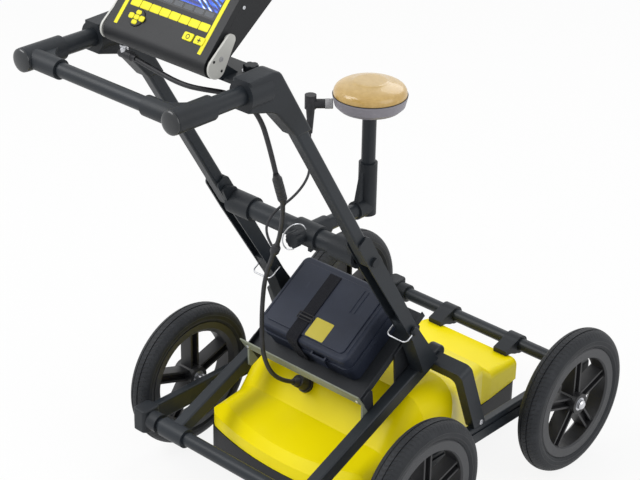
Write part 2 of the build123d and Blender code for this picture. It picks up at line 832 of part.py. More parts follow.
# Sloping tray with its side brackets
tray_half = 150.0
tray_deep = 216.0
sheet = 3.0
bracket_in = tray_half + fit
bracket_out = frame_rail_x - frame_rail_w / 2 - fit
plate_spans = (
    ((4, 36), (frame_rail_length - 180, frame_rail_length - 214)),
    ((112, 200), (frame_rail_length - 56, frame_rail_length - 112)),
)
with BuildPart() as tray:
    with BuildSketch(tray_side.offset(-tray_half)):
        with Locations((tray_deep / 2, -sheet / 2)):
            Rectangle(tray_deep, sheet)
    extrude(amount=2 * tray_half)
    with BuildSketch(tray_side.offset(-tray_half - 8)):
        with Locations((-sheet / 2, 13)):
            Rectangle(sheet, 32)
    extrude(amount=2 * tray_half + 16)
    for side in (-1, 1):
        with BuildSketch(tray_side.offset(side * tray_half)):
            with Locations((tray_deep / 2, 4)):
                Rectangle(tray_deep, 14)
        extrude(amount=-side * 2)
    for side in (-1, 1):
        for tray_span, rail_span in plate_spans:
            marks = [tray_side.from_local_coords(Vector(v, 6, 0)) for v in tray_span]
            marks += [rail_plane.from_local_coords(Vector(s, -6, 0)) for s in rail_span]
            with BuildSketch(Plane.YZ.offset(side * bracket_in)) as plate:
                with BuildLine():
                    Polyline(*[(mark.Y, mark.Z) for mark in marks], close=True)
                make_face()
                fillet(plate.vertices(), 6)
            extrude(amount=side * (bracket_out - bracket_in))
save(tray.part, "tray")

# Hard case on the tray, hinged along its upper edge
case_half = 116.0
case_low = 33.0
case_high = 203.0
seam_w = 40.0
case_top = 74.0
lid_panel = 3.0
rim_out = 3.0
hinge_v = case_high + rim_out + 4
hinge_w = seam_w + gap / 2
knuckle_r = 3.5
hinge_pin_r = 1.5
knuckle_in = 50.0
knuckle_out = 90.0
case_mid = (case_low + case_high) / 2
case_long = case_high - case_low
with BuildPart() as case_base:
    with BuildSketch(tray_face.offset(fit)):
        with Locations((0, case_mid)):
            RectangleRounded(2 * case_half, case_long, 16)
    extrude(amount=seam_w - fit)
    fillet(case_base.faces().sort_by(Axis(tray_face.origin, tray_face.z_dir))[0].edges(), 3)
    with BuildSketch(tray_face.offset(seam_w - 6)):
        with Locations((0, case_mid)):
            RectangleRounded(2 * (case_half + rim_out), case_long + 2 * rim_out, 19)
    extrude(amount=6)
    with BuildSketch(tray_face.offset(4)):
        with Locations((0, case_mid)):
            RectangleRounded(2 * (case_half - 4), case_long - 8, 12)
    extrude(amount=seam_w, mode=Mode.SUBTRACT)
    for x in (-knuckle_out, knuckle_in + gap):
        with BuildSketch(tray_side.offset(x)):
            with Locations((hinge_v, hinge_w)):
                Circle(knuckle_r)
            with BuildLine():
                Polyline(
                    (case_high + rim_out - 1, seam_w - 6),
                    (case_high + rim_out - 1, seam_w),
                    (hinge_v, seam_w),
                    (hinge_v, hinge_w - knuckle_r),
                    close=True,
                )
            make_face()
        extrude(amount=knuckle_out - knuckle_in - gap)
    with BuildSketch(tray_side.offset(-knuckle_out)):
        with Locations((hinge_v, hinge_w)):
            Circle(hinge_pin_r)
    extrude(amount=2 * knuckle_out)
save(case_base.part, "case_base")

with BuildPart() as battery_pack:
    with BuildSketch(tray_face.offset(4 + fit)):
        with Locations((0, case_mid)):
            RectangleRounded(2 * case_half - 24, case_long - 20, 6)
    extrude(amount=32)
save(battery_pack.part, "battery_pack")

latch_x = 45.0
latch_half = 15.0
latch_v = case_low - rim_out - 2.6
latch_w = seam_w + 16
with BuildPart() as case_lid:
    with BuildSketch(tray_face.offset(seam_w + gap)):
        with Locations((0, case_mid)):
            RectangleRounded(2 * case_half, case_long, 16)
    extrude(amount=case_top - seam_w - gap)
    fillet(case_lid.faces().sort_by(Axis(tray_face.origin, tray_face.z_dir))[-1].edges(), 7)
    with BuildSketch(tray_face.offset(case_top)):
        with Locations((0, case_mid)):
            RectangleRounded(2 * case_half - 28, case_long - 28, 10)
    extrude(amount=lid_panel)
    fillet(case_lid.faces().sort_by(Axis(tray_face.origin, tray_face.z_dir))[-1].edges(), 1.5)
    with BuildSketch(tray_face.offset(seam_w + gap)):
        with Locations((0, case_mid)):
            RectangleRounded(2 * (case_half + rim_out), case_long + 2 * rim_out, 19)
    extrude(amount=6)
    with BuildSketch(tray_face.offset(seam_w)):
        with Locations((0, case_mid)):
            RectangleRounded(2 * (case_half - 4), case_long - 8, 12)
    extrude(amount=case_top - seam_w - 4, mode=Mode.SUBTRACT)
    for x in (latch_x - latch_half - 2.3, latch_x + latch_half + 2.3):
        with BuildSketch(tray_side.offset(x)):
            with BuildLine():
                Polyline(
                    (case_low + 2, latch_w - 7),
                    (latch_v - 2.4, latch_w - 2.4),
                    (latch_v - 2.4, latch_w + 2.4),
                    (case_low + 2, latch_w + 3),
                    close=True,
                )
            make_face()
        extrude(amount=2, both=True)
    with BuildSketch(tray_side.offset(latch_x)):
        with Locations((latch_v, latch_w)):
            Circle(1.2)
    extrude(amount=latch_half + 2, both=True)
    with BuildSketch(tray_side.offset(-knuckle_in)):
        with Locations((hinge_v, hinge_w)):
            Circle(knuckle_r)
        with BuildLine():
            Polyline(
                (case_high + rim_out - 1, seam_w + gap),
                (hinge_v, seam_w + gap),
                (hinge_v, hinge_w + knuckle_r),
                (case_high + rim_out - 1, seam_w + gap + 6),
                close=True,
            )
        make_face()
        with Locations((hinge_v, hinge_w)):
            Circle(hinge_pin_r + run, mode=Mode.SUBTRACT)
    extrude(amount=2 * knuckle_in)
save(case_lid.part, "case_lid")

with BuildPart() as case_latch:
    with BuildSketch(tray_side.offset(latch_x)):
        with Locations((latch_v, latch_w)):
            Circle(2.3)
        with Locations((latch_v - 0.6, latch_w - 15)):
            Rectangle(2.6, 30)
    extrude(amount=latch_half, both=True)
    with BuildSketch(tray_side.offset(latch_x)):
        with Locations((latch_v, latch_w)):
            Circle(1.2 + run)
    extrude(amount=2 * latch_half, both=True, mode=Mode.SUBTRACT)
    slot_plane = Plane(
        origin=tray_side.from_local_coords(Vector(0, latch_w - 17, latch_x)),
        x_dir=(1, 0, 0),
        z_dir=(0, -cos(tray_slope), -sin(tray_slope)),
    )
    with BuildSketch(slot_plane):
        with Locations((-6, 0), (6, 0)):
            SlotOverall(16, 4, rotation=90)
    extrude(amount=20, both=True, mode=Mode.SUBTRACT)
save(case_latch.part, "case_latch")

# Webbing strap over the lid
strap_x = -19.0
strap_w = 28.0
webbing = 2.2
strap_edge = case_low - rim_out - gap
strap_top = case_top + lid_panel + gap
with BuildPart() as case_strap:
    with BuildSketch(tray_side.offset(strap_x - strap_w / 2)) as run_of_strap:
        with BuildLine():
            Polyline(
                (case_high - 18, strap_top),
                (strap_edge + 6, strap_top),
                (strap_edge, case_top - 8),
                (strap_edge, 6),
                (strap_edge - webbing, 6),
                (strap_edge - webbing, case_top - 7),
                (strap_edge + 5, strap_top + webbing),
                (case_high - 18, strap_top + webbing),
                close=True,
            )
        make_face()
    extrude(amount=strap_w)
save(case_strap.part, "case_strap")

# Radar plug on the rear cover
plug_x = -50.0
plug_y = seam_y - 47.0
cover_slope = atan((seam_z - kink_z) / (seam_y - fit - kink_y))
plug_z = kink_z + (plug_y - kink_y) * tan(cover_slope)
plug_normal = Vector(0, -sin(cover_slope), cos(cover_slope))
plug_base = Vector(plug_x, plug_y, plug_z)
plug_mid = plug_base + plug_normal * 24
boot_way = Vector(0, -0.9, 0.436)
plug_tip = plug_mid + boot_way * 24
with BuildPart() as radar_plug:
    with BuildSketch(Plane(origin=plug_base + plug_normal * gap, x_dir=(1, 0, 0), z_dir=plug_normal)):
        Circle(16)
    extrude(amount=8)
    with BuildSketch(Plane(origin=plug_base + plug_normal * gap, x_dir=(1, 0, 0), z_dir=plug_normal)):
        Circle(13)
    extrude(amount=34)
    with BuildSketch(Plane(origin=plug_mid, x_dir=(1, 0, 0), z_dir=boot_way)):
        Circle(12)
    with BuildSketch(Plane(origin=plug_tip, x_dir=(1, 0, 0), z_dir=boot_way)):
        Circle(6.5)
    loft()
save(radar_plug.part, "radar_plug")

# Cables
display_thick = 40.0
cable_r = 4.5
thin_cable_r = 2.5
connector_r = 9.0
connector_top = Vector(116, -255.5, 808)
connector_low = Vector(94, -218.5, 748)
connector_mid = (connector_top + connector_low) * 0.5
connector_way = (connector_top - connector_low).normalized()
branch_mid = Vector(11, -150.5, 593)
branch_way = Vector(30, -12, 54).normalized()
lower_points = [
    tuple(plug_tip + boot_way * gap),
    (-51, -58.5, 243),
    (-58, -88.5, 270),
    (-57, -110.5, 318),
    (-52, -120.5, 362),
    (-48, -125.5, 408),
    (-42, -129.5, 458),
    (-30, -135.5, 512),
    (-4, -144.5, 566),
    (26, -156.5, 620),
    (52, -176.5, 668),
    (76, -198.5, 712),
    tuple(connector_low),
]
lower_cord = cord(lower_points, cable_r)
with BuildPart() as lower_cable:
    add(lower_cord)
    with BuildSketch(Plane(origin=connector_low, z_dir=connector_way)):
        Circle(connector_r)
    extrude(amount=(connector_mid - connector_low).length - gap)
    with BuildSketch(Plane(origin=branch_mid - branch_way * 12, z_dir=branch_way)):
        Circle(connector_r)
    extrude(amount=24)
save(lower_cable.part, "lower_cable")

plug_drop = 38.0
elbow_plug = Vector(-72, tilt_y, tilt_z - plug_drop)
upper_points = [
    tuple(elbow_plug),
    (-38, tilt_y - 0.5, tilt_z - 43),
    (-4, tilt_y, tilt_z - 47),
    (28, tilt_y, tilt_z - 51),
    (60, tilt_y + 3, tilt_z - 53),
    (90, tilt_y + 13, tilt_z - 53),
    (114, tilt_y + 39, tilt_z - 59),
    (126, -334.5, 976),
    (128, -305.5, 934),
    (126, -288.5, 891),
    (122, -272.5, 850),
    tuple(connector_top),
]
upper_cord = cord(upper_points, cable_r)
with BuildPart() as upper_cable:
    add(upper_cord)
    with BuildSketch(Plane(origin=connector_mid, z_dir=connector_way)):
        Circle(connector_r)
    extrude(amount=(connector_top - connector_mid).length)
    with BuildSketch(Plane(origin=elbow_plug, z_dir=(-1, 0, 0))):
        Circle(connector_r - 1)
    extrude(amount=30)
    with BuildSketch(Plane(origin=elbow_plug + Vector(-20, 0, 0))):
        Circle(connector_r - 2)
    extrude(amount=plug_drop - display_thick / 2 - gap)
save(upper_cable.part, "upper_cable")

receiver_points = [
    (plug_hub.X, plug_hub.Y, boot_low - 2 * gap),
    (-36, -12.5, 730),
    (-21, -25.5, 700),
    (-13, -50.5, 682),
    (-14, -82.5, 664),
    (-28, -114.5, 645),
    (-28, -142.5, 616),
    (2, -150.5, 598),
]
save(cord(receiver_points, thin_cable_r), "receiver_cable")

# Folding handle
arm_tube_r = 16.0
bar_r = 13.0
fitting_r = 21.0
bar_y = -overall_length / 2 + fitting_r
mouth_y = pivot_y - 317.0
arm_in_y = mouth_y + 47.0
arm_out_y = bar_y + 18
gusset_half = 20.0
mouth_r = 27.0
with BuildPart() as uprights:
    for side in (-1, 1):
        with BuildSketch(leg_plane.offset(side * leg_x)):
            Circle(upright_d / 2)
            with Locations((0, upright_top / 2)):
                Rectangle(upright_d, upright_top)
        extrude(amount=upright_w / 2, both=True)
    long_edges = uprights.edges().filter_by(GeomType.LINE).filter_by(Axis((0, 0, 0), leg_plane.y_dir))
    fillet([edge for edge in long_edges if edge.length > 200], 5)
    for side in (-1, 1):
        with BuildSketch(leg_plane.offset(side * leg_x)):
            Circle(pin_r + run)
        extrude(amount=upright_w, both=True, mode=Mode.SUBTRACT)
save(uprights.part, "uprights")

with BuildPart() as gussets:
    for side in (-1, 1):
        with BuildSketch(Plane.YZ.offset(side * leg_x)) as web:
            with BuildLine():
                Polyline(
                    (mouth_y, handle_z + 27),
                    leg_point(16, 507),
                    leg_point(16, 356),
                    leg_point(-16, 372),
                    (mouth_y + 60, handle_z - 43),
                    (mouth_y, handle_z - 27),
                    close=True,
                )
            make_face()
            fillet([v for v in web.vertices() if v.X > mouth_y + 50 and v.Y > handle_z + 20], 22)
            fillet([v for v in web.vertices() if abs(v.X - mouth_y - 60) < 1], 30)
        extrude(amount=gusset_half, both=True)
    fillet(gussets.faces().filter_by(Axis.X).edges(), 5)
    for side in (-1, 1):
        mouth = Plane(origin=(side * leg_x, mouth_y, handle_z), x_dir=(1, 0, 0), z_dir=(0, 1, 0))
        with BuildSketch(mouth):
            Circle(mouth_r)
        extrude(amount=50)
        with BuildSketch(mouth):
            Circle(arm_tube_r + fit)
        extrude(amount=arm_in_y - mouth_y + fit, mode=Mode.SUBTRACT)
        with BuildSketch(leg_plane.offset(side * leg_x)):
            with Locations((0, upright_top / 2 + fit)):
                Rectangle(upright_d + 2 * fit, upright_top)
        extrude(amount=upright_w / 2 + fit, both=True, mode=Mode.SUBTRACT)
save(gussets.part, "gussets")

bar_end = 150.0
with BuildPart() as handle_tubes:
    with BuildSketch(Plane(origin=(0, arm_in_y, handle_z), x_dir=(1, 0, 0), z_dir=(0, -1, 0))):
        with Locations((-leg_x, 0), (leg_x, 0)):
            Circle(arm_tube_r)
            Circle(arm_tube_r - 2.5, mode=Mode.SUBTRACT)
    extrude(amount=arm_in_y - arm_out_y)
    with BuildSketch(Plane.YZ.offset(-bar_end)):
        with Locations((bar_y, handle_z)):
            Circle(bar_r)
            Circle(bar_r - 2.5, mode=Mode.SUBTRACT)
    extrude(amount=2 * bar_end)
save(handle_tubes.part, "handle_tubes")

with BuildPart() as corner_fittings:
    for side in (-1, 1):
        rear_plane = Plane(
            origin=(side * leg_x, bar_y - fitting_r, handle_z), x_dir=(1, 0, 0), z_dir=(0, 1, 0)
        )
        with BuildSketch(rear_plane):
            Circle(fitting_r)
        extrude(amount=84)
        fillet(corner_fittings.faces().sort_by(Axis.Y)[0].edges(), 4)
        with BuildSketch(Plane.YZ.offset(side * leg_x)):
            with Locations((bar_y, handle_z)):
                Circle(fitting_r - 3.5)
        extrude(amount=-side * 76)
        with BuildSketch(Plane.XY.offset(handle_z)):
            with BuildLine():
                Line((side * (leg_x - 15), bar_y + 50), (side * (leg_x - 15), bar_y + 10))
                Line((side * (leg_x - 15), bar_y + 10), (side * (leg_x - 60), bar_y + 10))
                ThreePointArc(
                    (side * (leg_x - 60), bar_y + 10),
                    (side * (leg_x - 31), bar_y + 26),
                    (side * (leg_x - 15), bar_y + 50),
                )
            make_face()
        extrude(amount=11, both=True)
    for side in (-1, 1):
        with BuildSketch(Plane(origin=(side * leg_x, arm_out_y - fit, handle_z), x_dir=(1, 0, 0), z_dir=(0, 1, 0))):
            Circle(arm_tube_r + fit)
        extrude(amount=90, mode=Mode.SUBTRACT)
        with BuildSketch(Plane.YZ.offset(side * (bar_end + fit))):
            with Locations((bar_y, handle_z)):
                Circle(bar_r + fit)
        extrude(amount=-side * 90, mode=Mode.SUBTRACT)
save(corner_fittings.part, "corner_fittings")

# Tilting display
display_half = 121.0
display_high = 195.0
split_n = 8.0
plate_thick = 4.0
ear_thick = 5.0
tilt_pin_r = 5.0
ear_x = display_half + gap
plate_x = ear_x + ear_thick + gap
deck_top = handle_z + 12
deck_low = handle_z + 6
deck_rear = mouth_y + 12
deck_front = mouth_y + 84
deck_step = mouth_y + 52
deck_half = leg_x - gusset_half - fit
knob_x = 136.0
knob_y = deck_front - 18
with BuildPart() as tilt_brackets:
    with BuildSketch(Plane.XY.offset(deck_low)):
        with Locations((0, (deck_step + deck_front) / 2)):
            Rectangle(2 * deck_half, deck_front - deck_step)
        with Locations((0, (deck_rear + deck_step) / 2)):
            Rectangle(2 * (leg_x - mouth_r - 3), deck_step - deck_rear)
    extrude(amount=deck_top - deck_low)
    with BuildSketch(Plane.XY.offset(deck_low)):
        with Locations((0, deck_front - 3)):
            Rectangle(2 * deck_half, 6)
    extrude(amount=-22)
    for side in (-1, 1):
        with BuildSketch(Plane.YZ.offset(side * ear_x)):
            with Locations((tilt_y, tilt_z)):
                Circle(14)
            with BuildLine():
                Polyline(
                    (tilt_y - 12, tilt_z - 7),
                    (tilt_y + 10, tilt_z + 9.7),
                    (deck_front - 38, deck_top),
                    (deck_front - 38, deck_low),
                    (deck_rear, deck_low),
                    close=True,
                )
            make_face()
            with Locations((tilt_y, tilt_z)):
                Circle(tilt_pin_r + run, mode=Mode.SUBTRACT)
        extrude(amount=side * ear_thick)
    with BuildSketch(Plane.XY.offset(deck_top)):
        with Locations((knob_x, knob_y)):
            Circle(3 + run)
    extrude(amount=-6, mode=Mode.SUBTRACT)
save(tilt_brackets.part, "tilt_brackets")

with BuildPart() as tilt_knob:
    knob_face = Plane.XY.offset(deck_top + gap)
    with BuildSketch(knob_face):
        with Locations((knob_x, knob_y)):
            Circle(13)
            with PolarLocations(15, 6):
                Circle(4, mode=Mode.SUBTRACT)
    extrude(amount=10)
    fillet(tilt_knob.faces().sort_by(Axis.Z)[-1].edges(), 1.5)
    with BuildSketch(knob_face):
        with Locations((knob_x, knob_y)):
            Circle(3)
    extrude(amount=-6)
save(tilt_knob.part, "tilt_knob")

with BuildPart() as display_back:
    with BuildSketch(display_side.offset(-display_half)):
        Circle(display_thick / 2)
        with Locations((display_high / 2, 0)):
            Rectangle(display_high, display_thick)
        with BuildLine():
            Polyline(
                (0, -display_thick / 2),
                (50, -display_thick / 2 - 10),
                (display_high, -display_thick / 2 - 38),
                (display_high, 0),
                (0, 0),
                close=True,
            )
        make_face()
    extrude(amount=2 * display_half)
    top_edges = display_back.faces().sort_by(Axis((0, 0, 0), display_side.x_dir))[-1].edges()
    fillet(top_edges, 8)
    split(bisect_by=display_face.offset(split_n), keep=Keep.BOTTOM)
save(display_back.part, "display_back")

screen_half = 95.0
screen_low = 66.0
screen_high = 182.0
key_row_u = 27.0
pad_x = -60.0
pad_r = 16.0
key_sites = {"left": 62.0, "right": 88.0}
key_size = (22.0, 14.0)
key_back = split_n + 5
key_face = display_thick / 2 + 2
screen_mid = (screen_low + screen_high) / 2
with BuildPart() as display_bezel:
    with BuildSketch(display_side.offset(-display_half)):
        Circle(display_thick / 2)
        with Locations((display_high / 2, 0)):
            Rectangle(display_high, display_thick)
    extrude(amount=2 * display_half)
    top_edges = display_bezel.faces().sort_by(Axis((0, 0, 0), display_side.x_dir))[-1].edges()
    fillet(top_edges, 8)
    split(bisect_by=display_face.offset(split_n + fit), keep=Keep.TOP)
    with BuildSketch(display_face.offset(display_thick / 2 - 5)):
        with Locations((0, screen_mid)):
            RectangleRounded(2 * screen_half, screen_high - screen_low, 4)
    extrude(amount=20, mode=Mode.SUBTRACT)
    with BuildSketch(display_face.offset(split_n - 2)):
        with Locations((pad_x, key_row_u)):
            Circle(pad_r + gap)
        with Locations(*[(x, key_row_u) for x in key_sites.values()]):
            RectangleRounded(key_size[0] + 2 * gap, key_size[1] + 2 * gap, 3 + gap)
    extrude(amount=40, mode=Mode.SUBTRACT)
save(display_bezel.part, "display_bezel")

with BuildPart() as display_screen:
    with BuildSketch(display_face.offset(display_thick / 2 - 5 + fit)):
        with Locations((0, screen_mid)):
            RectangleRounded(2 * (screen_half - fit), screen_high - screen_low - 2 * fit, 4)
    extrude(amount=3.6)
save(display_screen.part, "display_screen")

with BuildPart() as arrow_pad:
    with BuildSketch(display_face.offset(key_back)):
        with Locations((pad_x, key_row_u)):
            Circle(pad_r)
    extrude(amount=key_face - key_back)
    fillet(arrow_pad.edges().sort_by(Axis((0, 0, 0), display_face.z_dir))[-1], 1.2)
save(arrow_pad.part, "arrow_pad")

for name, x in key_sites.items():
    with BuildPart() as key:
        with BuildSketch(display_face.offset(key_back)):
            with Locations((x, key_row_u)):
                RectangleRounded(*key_size, 3)
        extrude(amount=key_face - key_back)
        fillet(key.faces().sort_by(Axis((0, 0, 0), display_face.z_dir))[-1].edges(), 1)
    save(key.part, f"key_{name}")

with BuildPart() as side_plates:
    for side in (-1, 1):
        with BuildSketch(display_side.offset(side * plate_x)):
            Circle(19)
            with Locations((50, 2)):
                Circle(10)
            make_hull()
        extrude(amount=side * plate_thick)
        with BuildSketch(display_side.offset(side * plate_x)):
            Circle(tilt_pin_r)
            with Locations((50, 2)):
                Circle(7)
        extrude(amount=-side * (plate_x - ear_x))
save(side_plates.part, "side_plates")
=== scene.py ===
import json
from math import cos, pi, radians, sin

import bmesh
import bpy
from mathutils import Matrix, Vector


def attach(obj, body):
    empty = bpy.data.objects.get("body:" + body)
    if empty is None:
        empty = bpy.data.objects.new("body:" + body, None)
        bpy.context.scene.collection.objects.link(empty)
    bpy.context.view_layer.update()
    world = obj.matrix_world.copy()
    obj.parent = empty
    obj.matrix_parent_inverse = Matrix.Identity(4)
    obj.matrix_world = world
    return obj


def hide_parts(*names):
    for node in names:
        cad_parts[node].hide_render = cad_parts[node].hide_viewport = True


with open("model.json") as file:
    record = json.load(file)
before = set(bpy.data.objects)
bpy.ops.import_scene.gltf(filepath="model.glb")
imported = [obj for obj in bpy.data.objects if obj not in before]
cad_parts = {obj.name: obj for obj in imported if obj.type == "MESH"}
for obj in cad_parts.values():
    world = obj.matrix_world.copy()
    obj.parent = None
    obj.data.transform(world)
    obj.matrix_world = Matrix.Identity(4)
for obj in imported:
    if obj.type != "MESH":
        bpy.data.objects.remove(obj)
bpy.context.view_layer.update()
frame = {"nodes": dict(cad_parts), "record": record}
nodes = frame["nodes"]
scene = bpy.context.scene
scene.view_settings.view_transform = "Standard"
print("frame loaded:", len(nodes), "nodes")


# Camera, matched to the four wheels, the uprights and the push bar
shot = {
    "azimuth": 42.594, "elevation": 27.315, "roll": 1.074,
    "place": (2.1378, -2.3430, 2.1914), "focalPixels": 1878.2,
}


def setCamera():
    a, e, r = (radians(shot[k]) for k in ("azimuth", "elevation", "roll"))
    right = Vector((cos(a), sin(a), 0))
    back = Vector((sin(a) * cos(e), -cos(a) * cos(e), sin(e)))
    up = back.cross(right)
    across = right * cos(r) + up * sin(r)
    above = up * cos(r) - right * sin(r)
    data = bpy.data.cameras.new("camera")
    data.sensor_fit = "HORIZONTAL"
    data.sensor_width = 36
    data.lens = shot["focalPixels"] / 640 * 36
    data.clip_end = 60
    camera = bpy.data.objects.new("camera", data)
    scene.collection.objects.link(camera)
    turn = Matrix((across, above, back)).transposed()
    camera.matrix_world = Matrix.Translation(shot["place"]) @ turn.to_4x4()
    scene.camera = camera


setCamera()

# Places that finishes and trim share
trayFoot = (0, -0.0575, 0.280)
traySlope = radians(34)
tiltAxis = (0, -0.4095, 1.059)
displayLean = radians(41.6)
receiverAxis = (0.038, 0.0705)
sides = {"Left": -1, "Right": 1}


# Shader wiring: a Wire is one output socket, and sums on it add Math nodes
class Wire:
    def __init__(self, paint, socket):
        self.paint = paint
        self.socket = socket

    def sum(self, operation, *values):
        return self.paint.node("ShaderNodeMath", {"operation": operation}, dict(enumerate(values)))

    def __add__(self, other):
        return self.sum("ADD", self, other)

    def __radd__(self, other):
        return self.sum("ADD", other, self)

    def __sub__(self, other):
        return self.sum("SUBTRACT", self, other)

    def __rsub__(self, other):
        return self.sum("SUBTRACT", other, self)

    def __mul__(self, other):
        return self.sum("MULTIPLY", self, other)

    def __rmul__(self, other):
        return self.sum("MULTIPLY", other, self)

    def __truediv__(self, other):
        return self.sum("DIVIDE", self, other)

    def __abs__(self):
        return self.sum("ABSOLUTE", self)

    def wave(self):
        return self.sum("SINE", self)

    def root(self):
        return self.sum("SQRT", self)

    def rise(self, low, high):    # 0 below low, 1 above high, smooth between
        return self.paint.node(
            "ShaderNodeMapRange", {"interpolation_type": "SMOOTHSTEP"},
            {"Value": self, "From Min": low, "From Max": high, "To Min": 0.0, "To Max": 1.0},
        )

    def band(self, low, high, edge):    # 1 between low and high
        return self.rise(low - edge, low) * (1 - self.rise(high, high + edge))

    def parts(self):
        split = self.paint.node("ShaderNodeSeparateXYZ", {}, {0: self}).socket.node
        return [Wire(self.paint, split.outputs[i]) for i in range(3)]


class Paint:
    def __init__(self, name):
        self.material = bpy.data.materials.new(name)
        self.material.use_nodes = True
        self.tree = self.material.node_tree
        self.shader = next(n for n in self.tree.nodes if n.type == "BSDF_PRINCIPLED")
        self.coords = None

    def node(self, kind, settings, sockets, out=0):
        made = self.tree.nodes.new(kind)
        for key, value in settings.items():
            if key == "stops":
                ramp = made.color_ramp
                for i, (place, colour) in enumerate(value):
                    stop = ramp.elements[i] if i < 2 else ramp.elements.new(place)
                    stop.position = place
                    stop.color = (*colour, 1)
            else:
                setattr(made, key, value)
        for key, value in sockets.items():
            self.feed(made.inputs[key], value)
        return Wire(self, made.outputs[out])

    def feed(self, socket, value):
        if isinstance(value, Wire):
            self.tree.links.new(value.socket, socket)
        elif socket.type == "RGBA":
            socket.default_value = (*value[:3], 1)
        else:
            socket.default_value = value

    def at(self, centre=(0, 0, 0), turn=(0, 0, 0), scale=(1, 1, 1)):    # object coordinates about a centre
        if self.coords is None:
            self.coords = self.node("ShaderNodeTexCoord", {}, {}, 3)
        moved = self.node("ShaderNodeVectorMath", {"operation": "SUBTRACT"}, {0: self.coords, 1: centre})
        if any(turn):
            moved = self.node("ShaderNodeMapping", {}, {"Vector": moved, "Rotation": turn})
        if tuple(scale) != (1, 1, 1):
            moved = self.node("ShaderNodeVectorMath", {"operation": "MULTIPLY"}, {0: moved, 1: scale})
        return moved

    def noise(self, scale, detail=3.0, rough=0.55, where=None):
        return self.node(
            "ShaderNodeTexNoise", {},
            {"Vector": where or self.at(), "Scale": scale, "Detail": detail, "Roughness": rough},
        )

    def cells(self, scale, feature="F1"):
        sockets = {"Vector": self.at(), "Scale": scale}
        return self.node("ShaderNodeTexVoronoi", {"feature": feature}, sockets)

    def mix(self, share, first, second):
        return self.node("ShaderNodeMix", {"data_type": "RGBA"}, {0: share, 6: first, 7: second}, 2)

    def ramp(self, value, stops):
        return self.node("ShaderNodeValToRGB", {"stops": stops}, {"Fac": value})

    def bump(self, height, depth):
        sockets = {"Height": height, "Distance": depth, "Strength": 1.0}
        return self.node("ShaderNodeBump", {}, sockets)

    def finish(self, **inputs):
        for key, value in inputs.items():
            self.feed(self.shader.inputs[key.replace("_", " ")], value)
        return self.material


# Finishes
def mouldedPlastic(name, colour, shift, rough, grain, depth, gloss=0.28):
    paint = Paint(name)
    cloud = paint.noise(9, 4)
    fine = paint.noise(grain, 2)
    scuff = paint.noise(60, 5, 0.7, paint.at(scale=(1, 0.35, 1))).rise(0.60, 0.72)
    dark, light = ([c * (1 + way * shift) for c in colour] for way in (-1, 1))
    tone = paint.mix(cloud.rise(0.3, 0.7), dark, light)
    tone = paint.mix(scuff * 0.22, tone, [min(1, c * 1.6 + 0.02) for c in colour])
    return paint.finish(
        Base_Color=tone, Roughness=rough + (fine - 0.5) * 0.16 + scuff * 0.10,
        Normal=paint.bump(fine, depth), Specular_IOR_Level=gloss,
    )


def powderCoat(name, colour, rough):
    paint = Paint(name)
    peel = paint.noise(620, 2)
    cloud = paint.noise(7, 4)
    grit = paint.noise(170, 4, 0.6).rise(0.66, 0.74)
    tone = paint.mix(cloud.rise(0.25, 0.75), [c * 0.86 for c in colour], [c * 1.16 for c in colour])
    tone = paint.mix(grit * 0.30, tone, [c * 2.2 + 0.02 for c in colour])
    return paint.finish(
        Base_Color=tone, Roughness=rough + (cloud - 0.5) * 0.14 + grit * 0.1,
        Normal=paint.bump(peel, 0.00012), Specular_IOR_Level=0.30,
    )


def tyreRubber(name, centre):
    paint = Paint(name)
    x, y, z = paint.at(centre).parts()
    radius = (y * y + z * z).root()
    angle = paint.node("ShaderNodeMath", {"operation": "ARCTAN2"}, {0: z, 1: y})
    side = abs(x)
    tread = radius.rise(0.1485, 0.1510) * (1 - side.rise(0.013, 0.016))
    slant = (angle * 96 + side * 420).wave().rise(0.45, 0.80)
    shoulder = (angle * 96).wave().rise(0.25, 0.6) * side.band(0.0165, 0.0215, 0.001)
    shoulder = shoulder * radius.rise(0.1405, 0.1425)
    rings = radius.band(0.1262, 0.1276, 0.0006) + radius.band(0.1348, 0.1358, 0.0005)
    dust = paint.noise(38, 5, 0.65)
    fine = paint.noise(900, 2)
    tone = paint.mix(dust.rise(0.42, 0.78), (0.0115, 0.0135, 0.0170), (0.0250, 0.0275, 0.0325))
    # the slanted tread grooves are painted darker: painted shade in the grooves
    tone = paint.mix(slant * tread * 0.6, tone, (0.010, 0.010, 0.011))
    tone = paint.mix(rings * 0.35, tone, (0.075, 0.076, 0.080))
    height = fine * 0.12 - slant * tread - shoulder * 0.8 + rings * 0.8
    return paint.finish(
        Base_Color=tone, Roughness=0.48 + dust * 0.22,
        Normal=paint.bump(height, 0.0011), Specular_IOR_Level=0.34,
    )


def rimMoulding(name, centre):
    paint = Paint(name)
    y, z = paint.at(centre).parts()[1:]
    radius = (y * y + z * z).root()
    flange = radius.rise(0.0965, 0.0985)
    cloud = paint.noise(24, 4)
    fine = paint.noise(1300, 2)
    lathe = (radius * 5200).wave() * flange
    tone = paint.mix(cloud.rise(0.3, 0.7), (0.0100, 0.0102, 0.0120), (0.0185, 0.0188, 0.0210))
    tone = paint.mix(flange * 0.8, tone, (0.034, 0.036, 0.041))
    return paint.finish(
        Base_Color=tone, Roughness=0.42 + cloud * 0.16 - flange * 0.06,
        Normal=paint.bump(fine + lathe * 0.4, 0.00010), Specular_IOR_Level=0.5,
    )


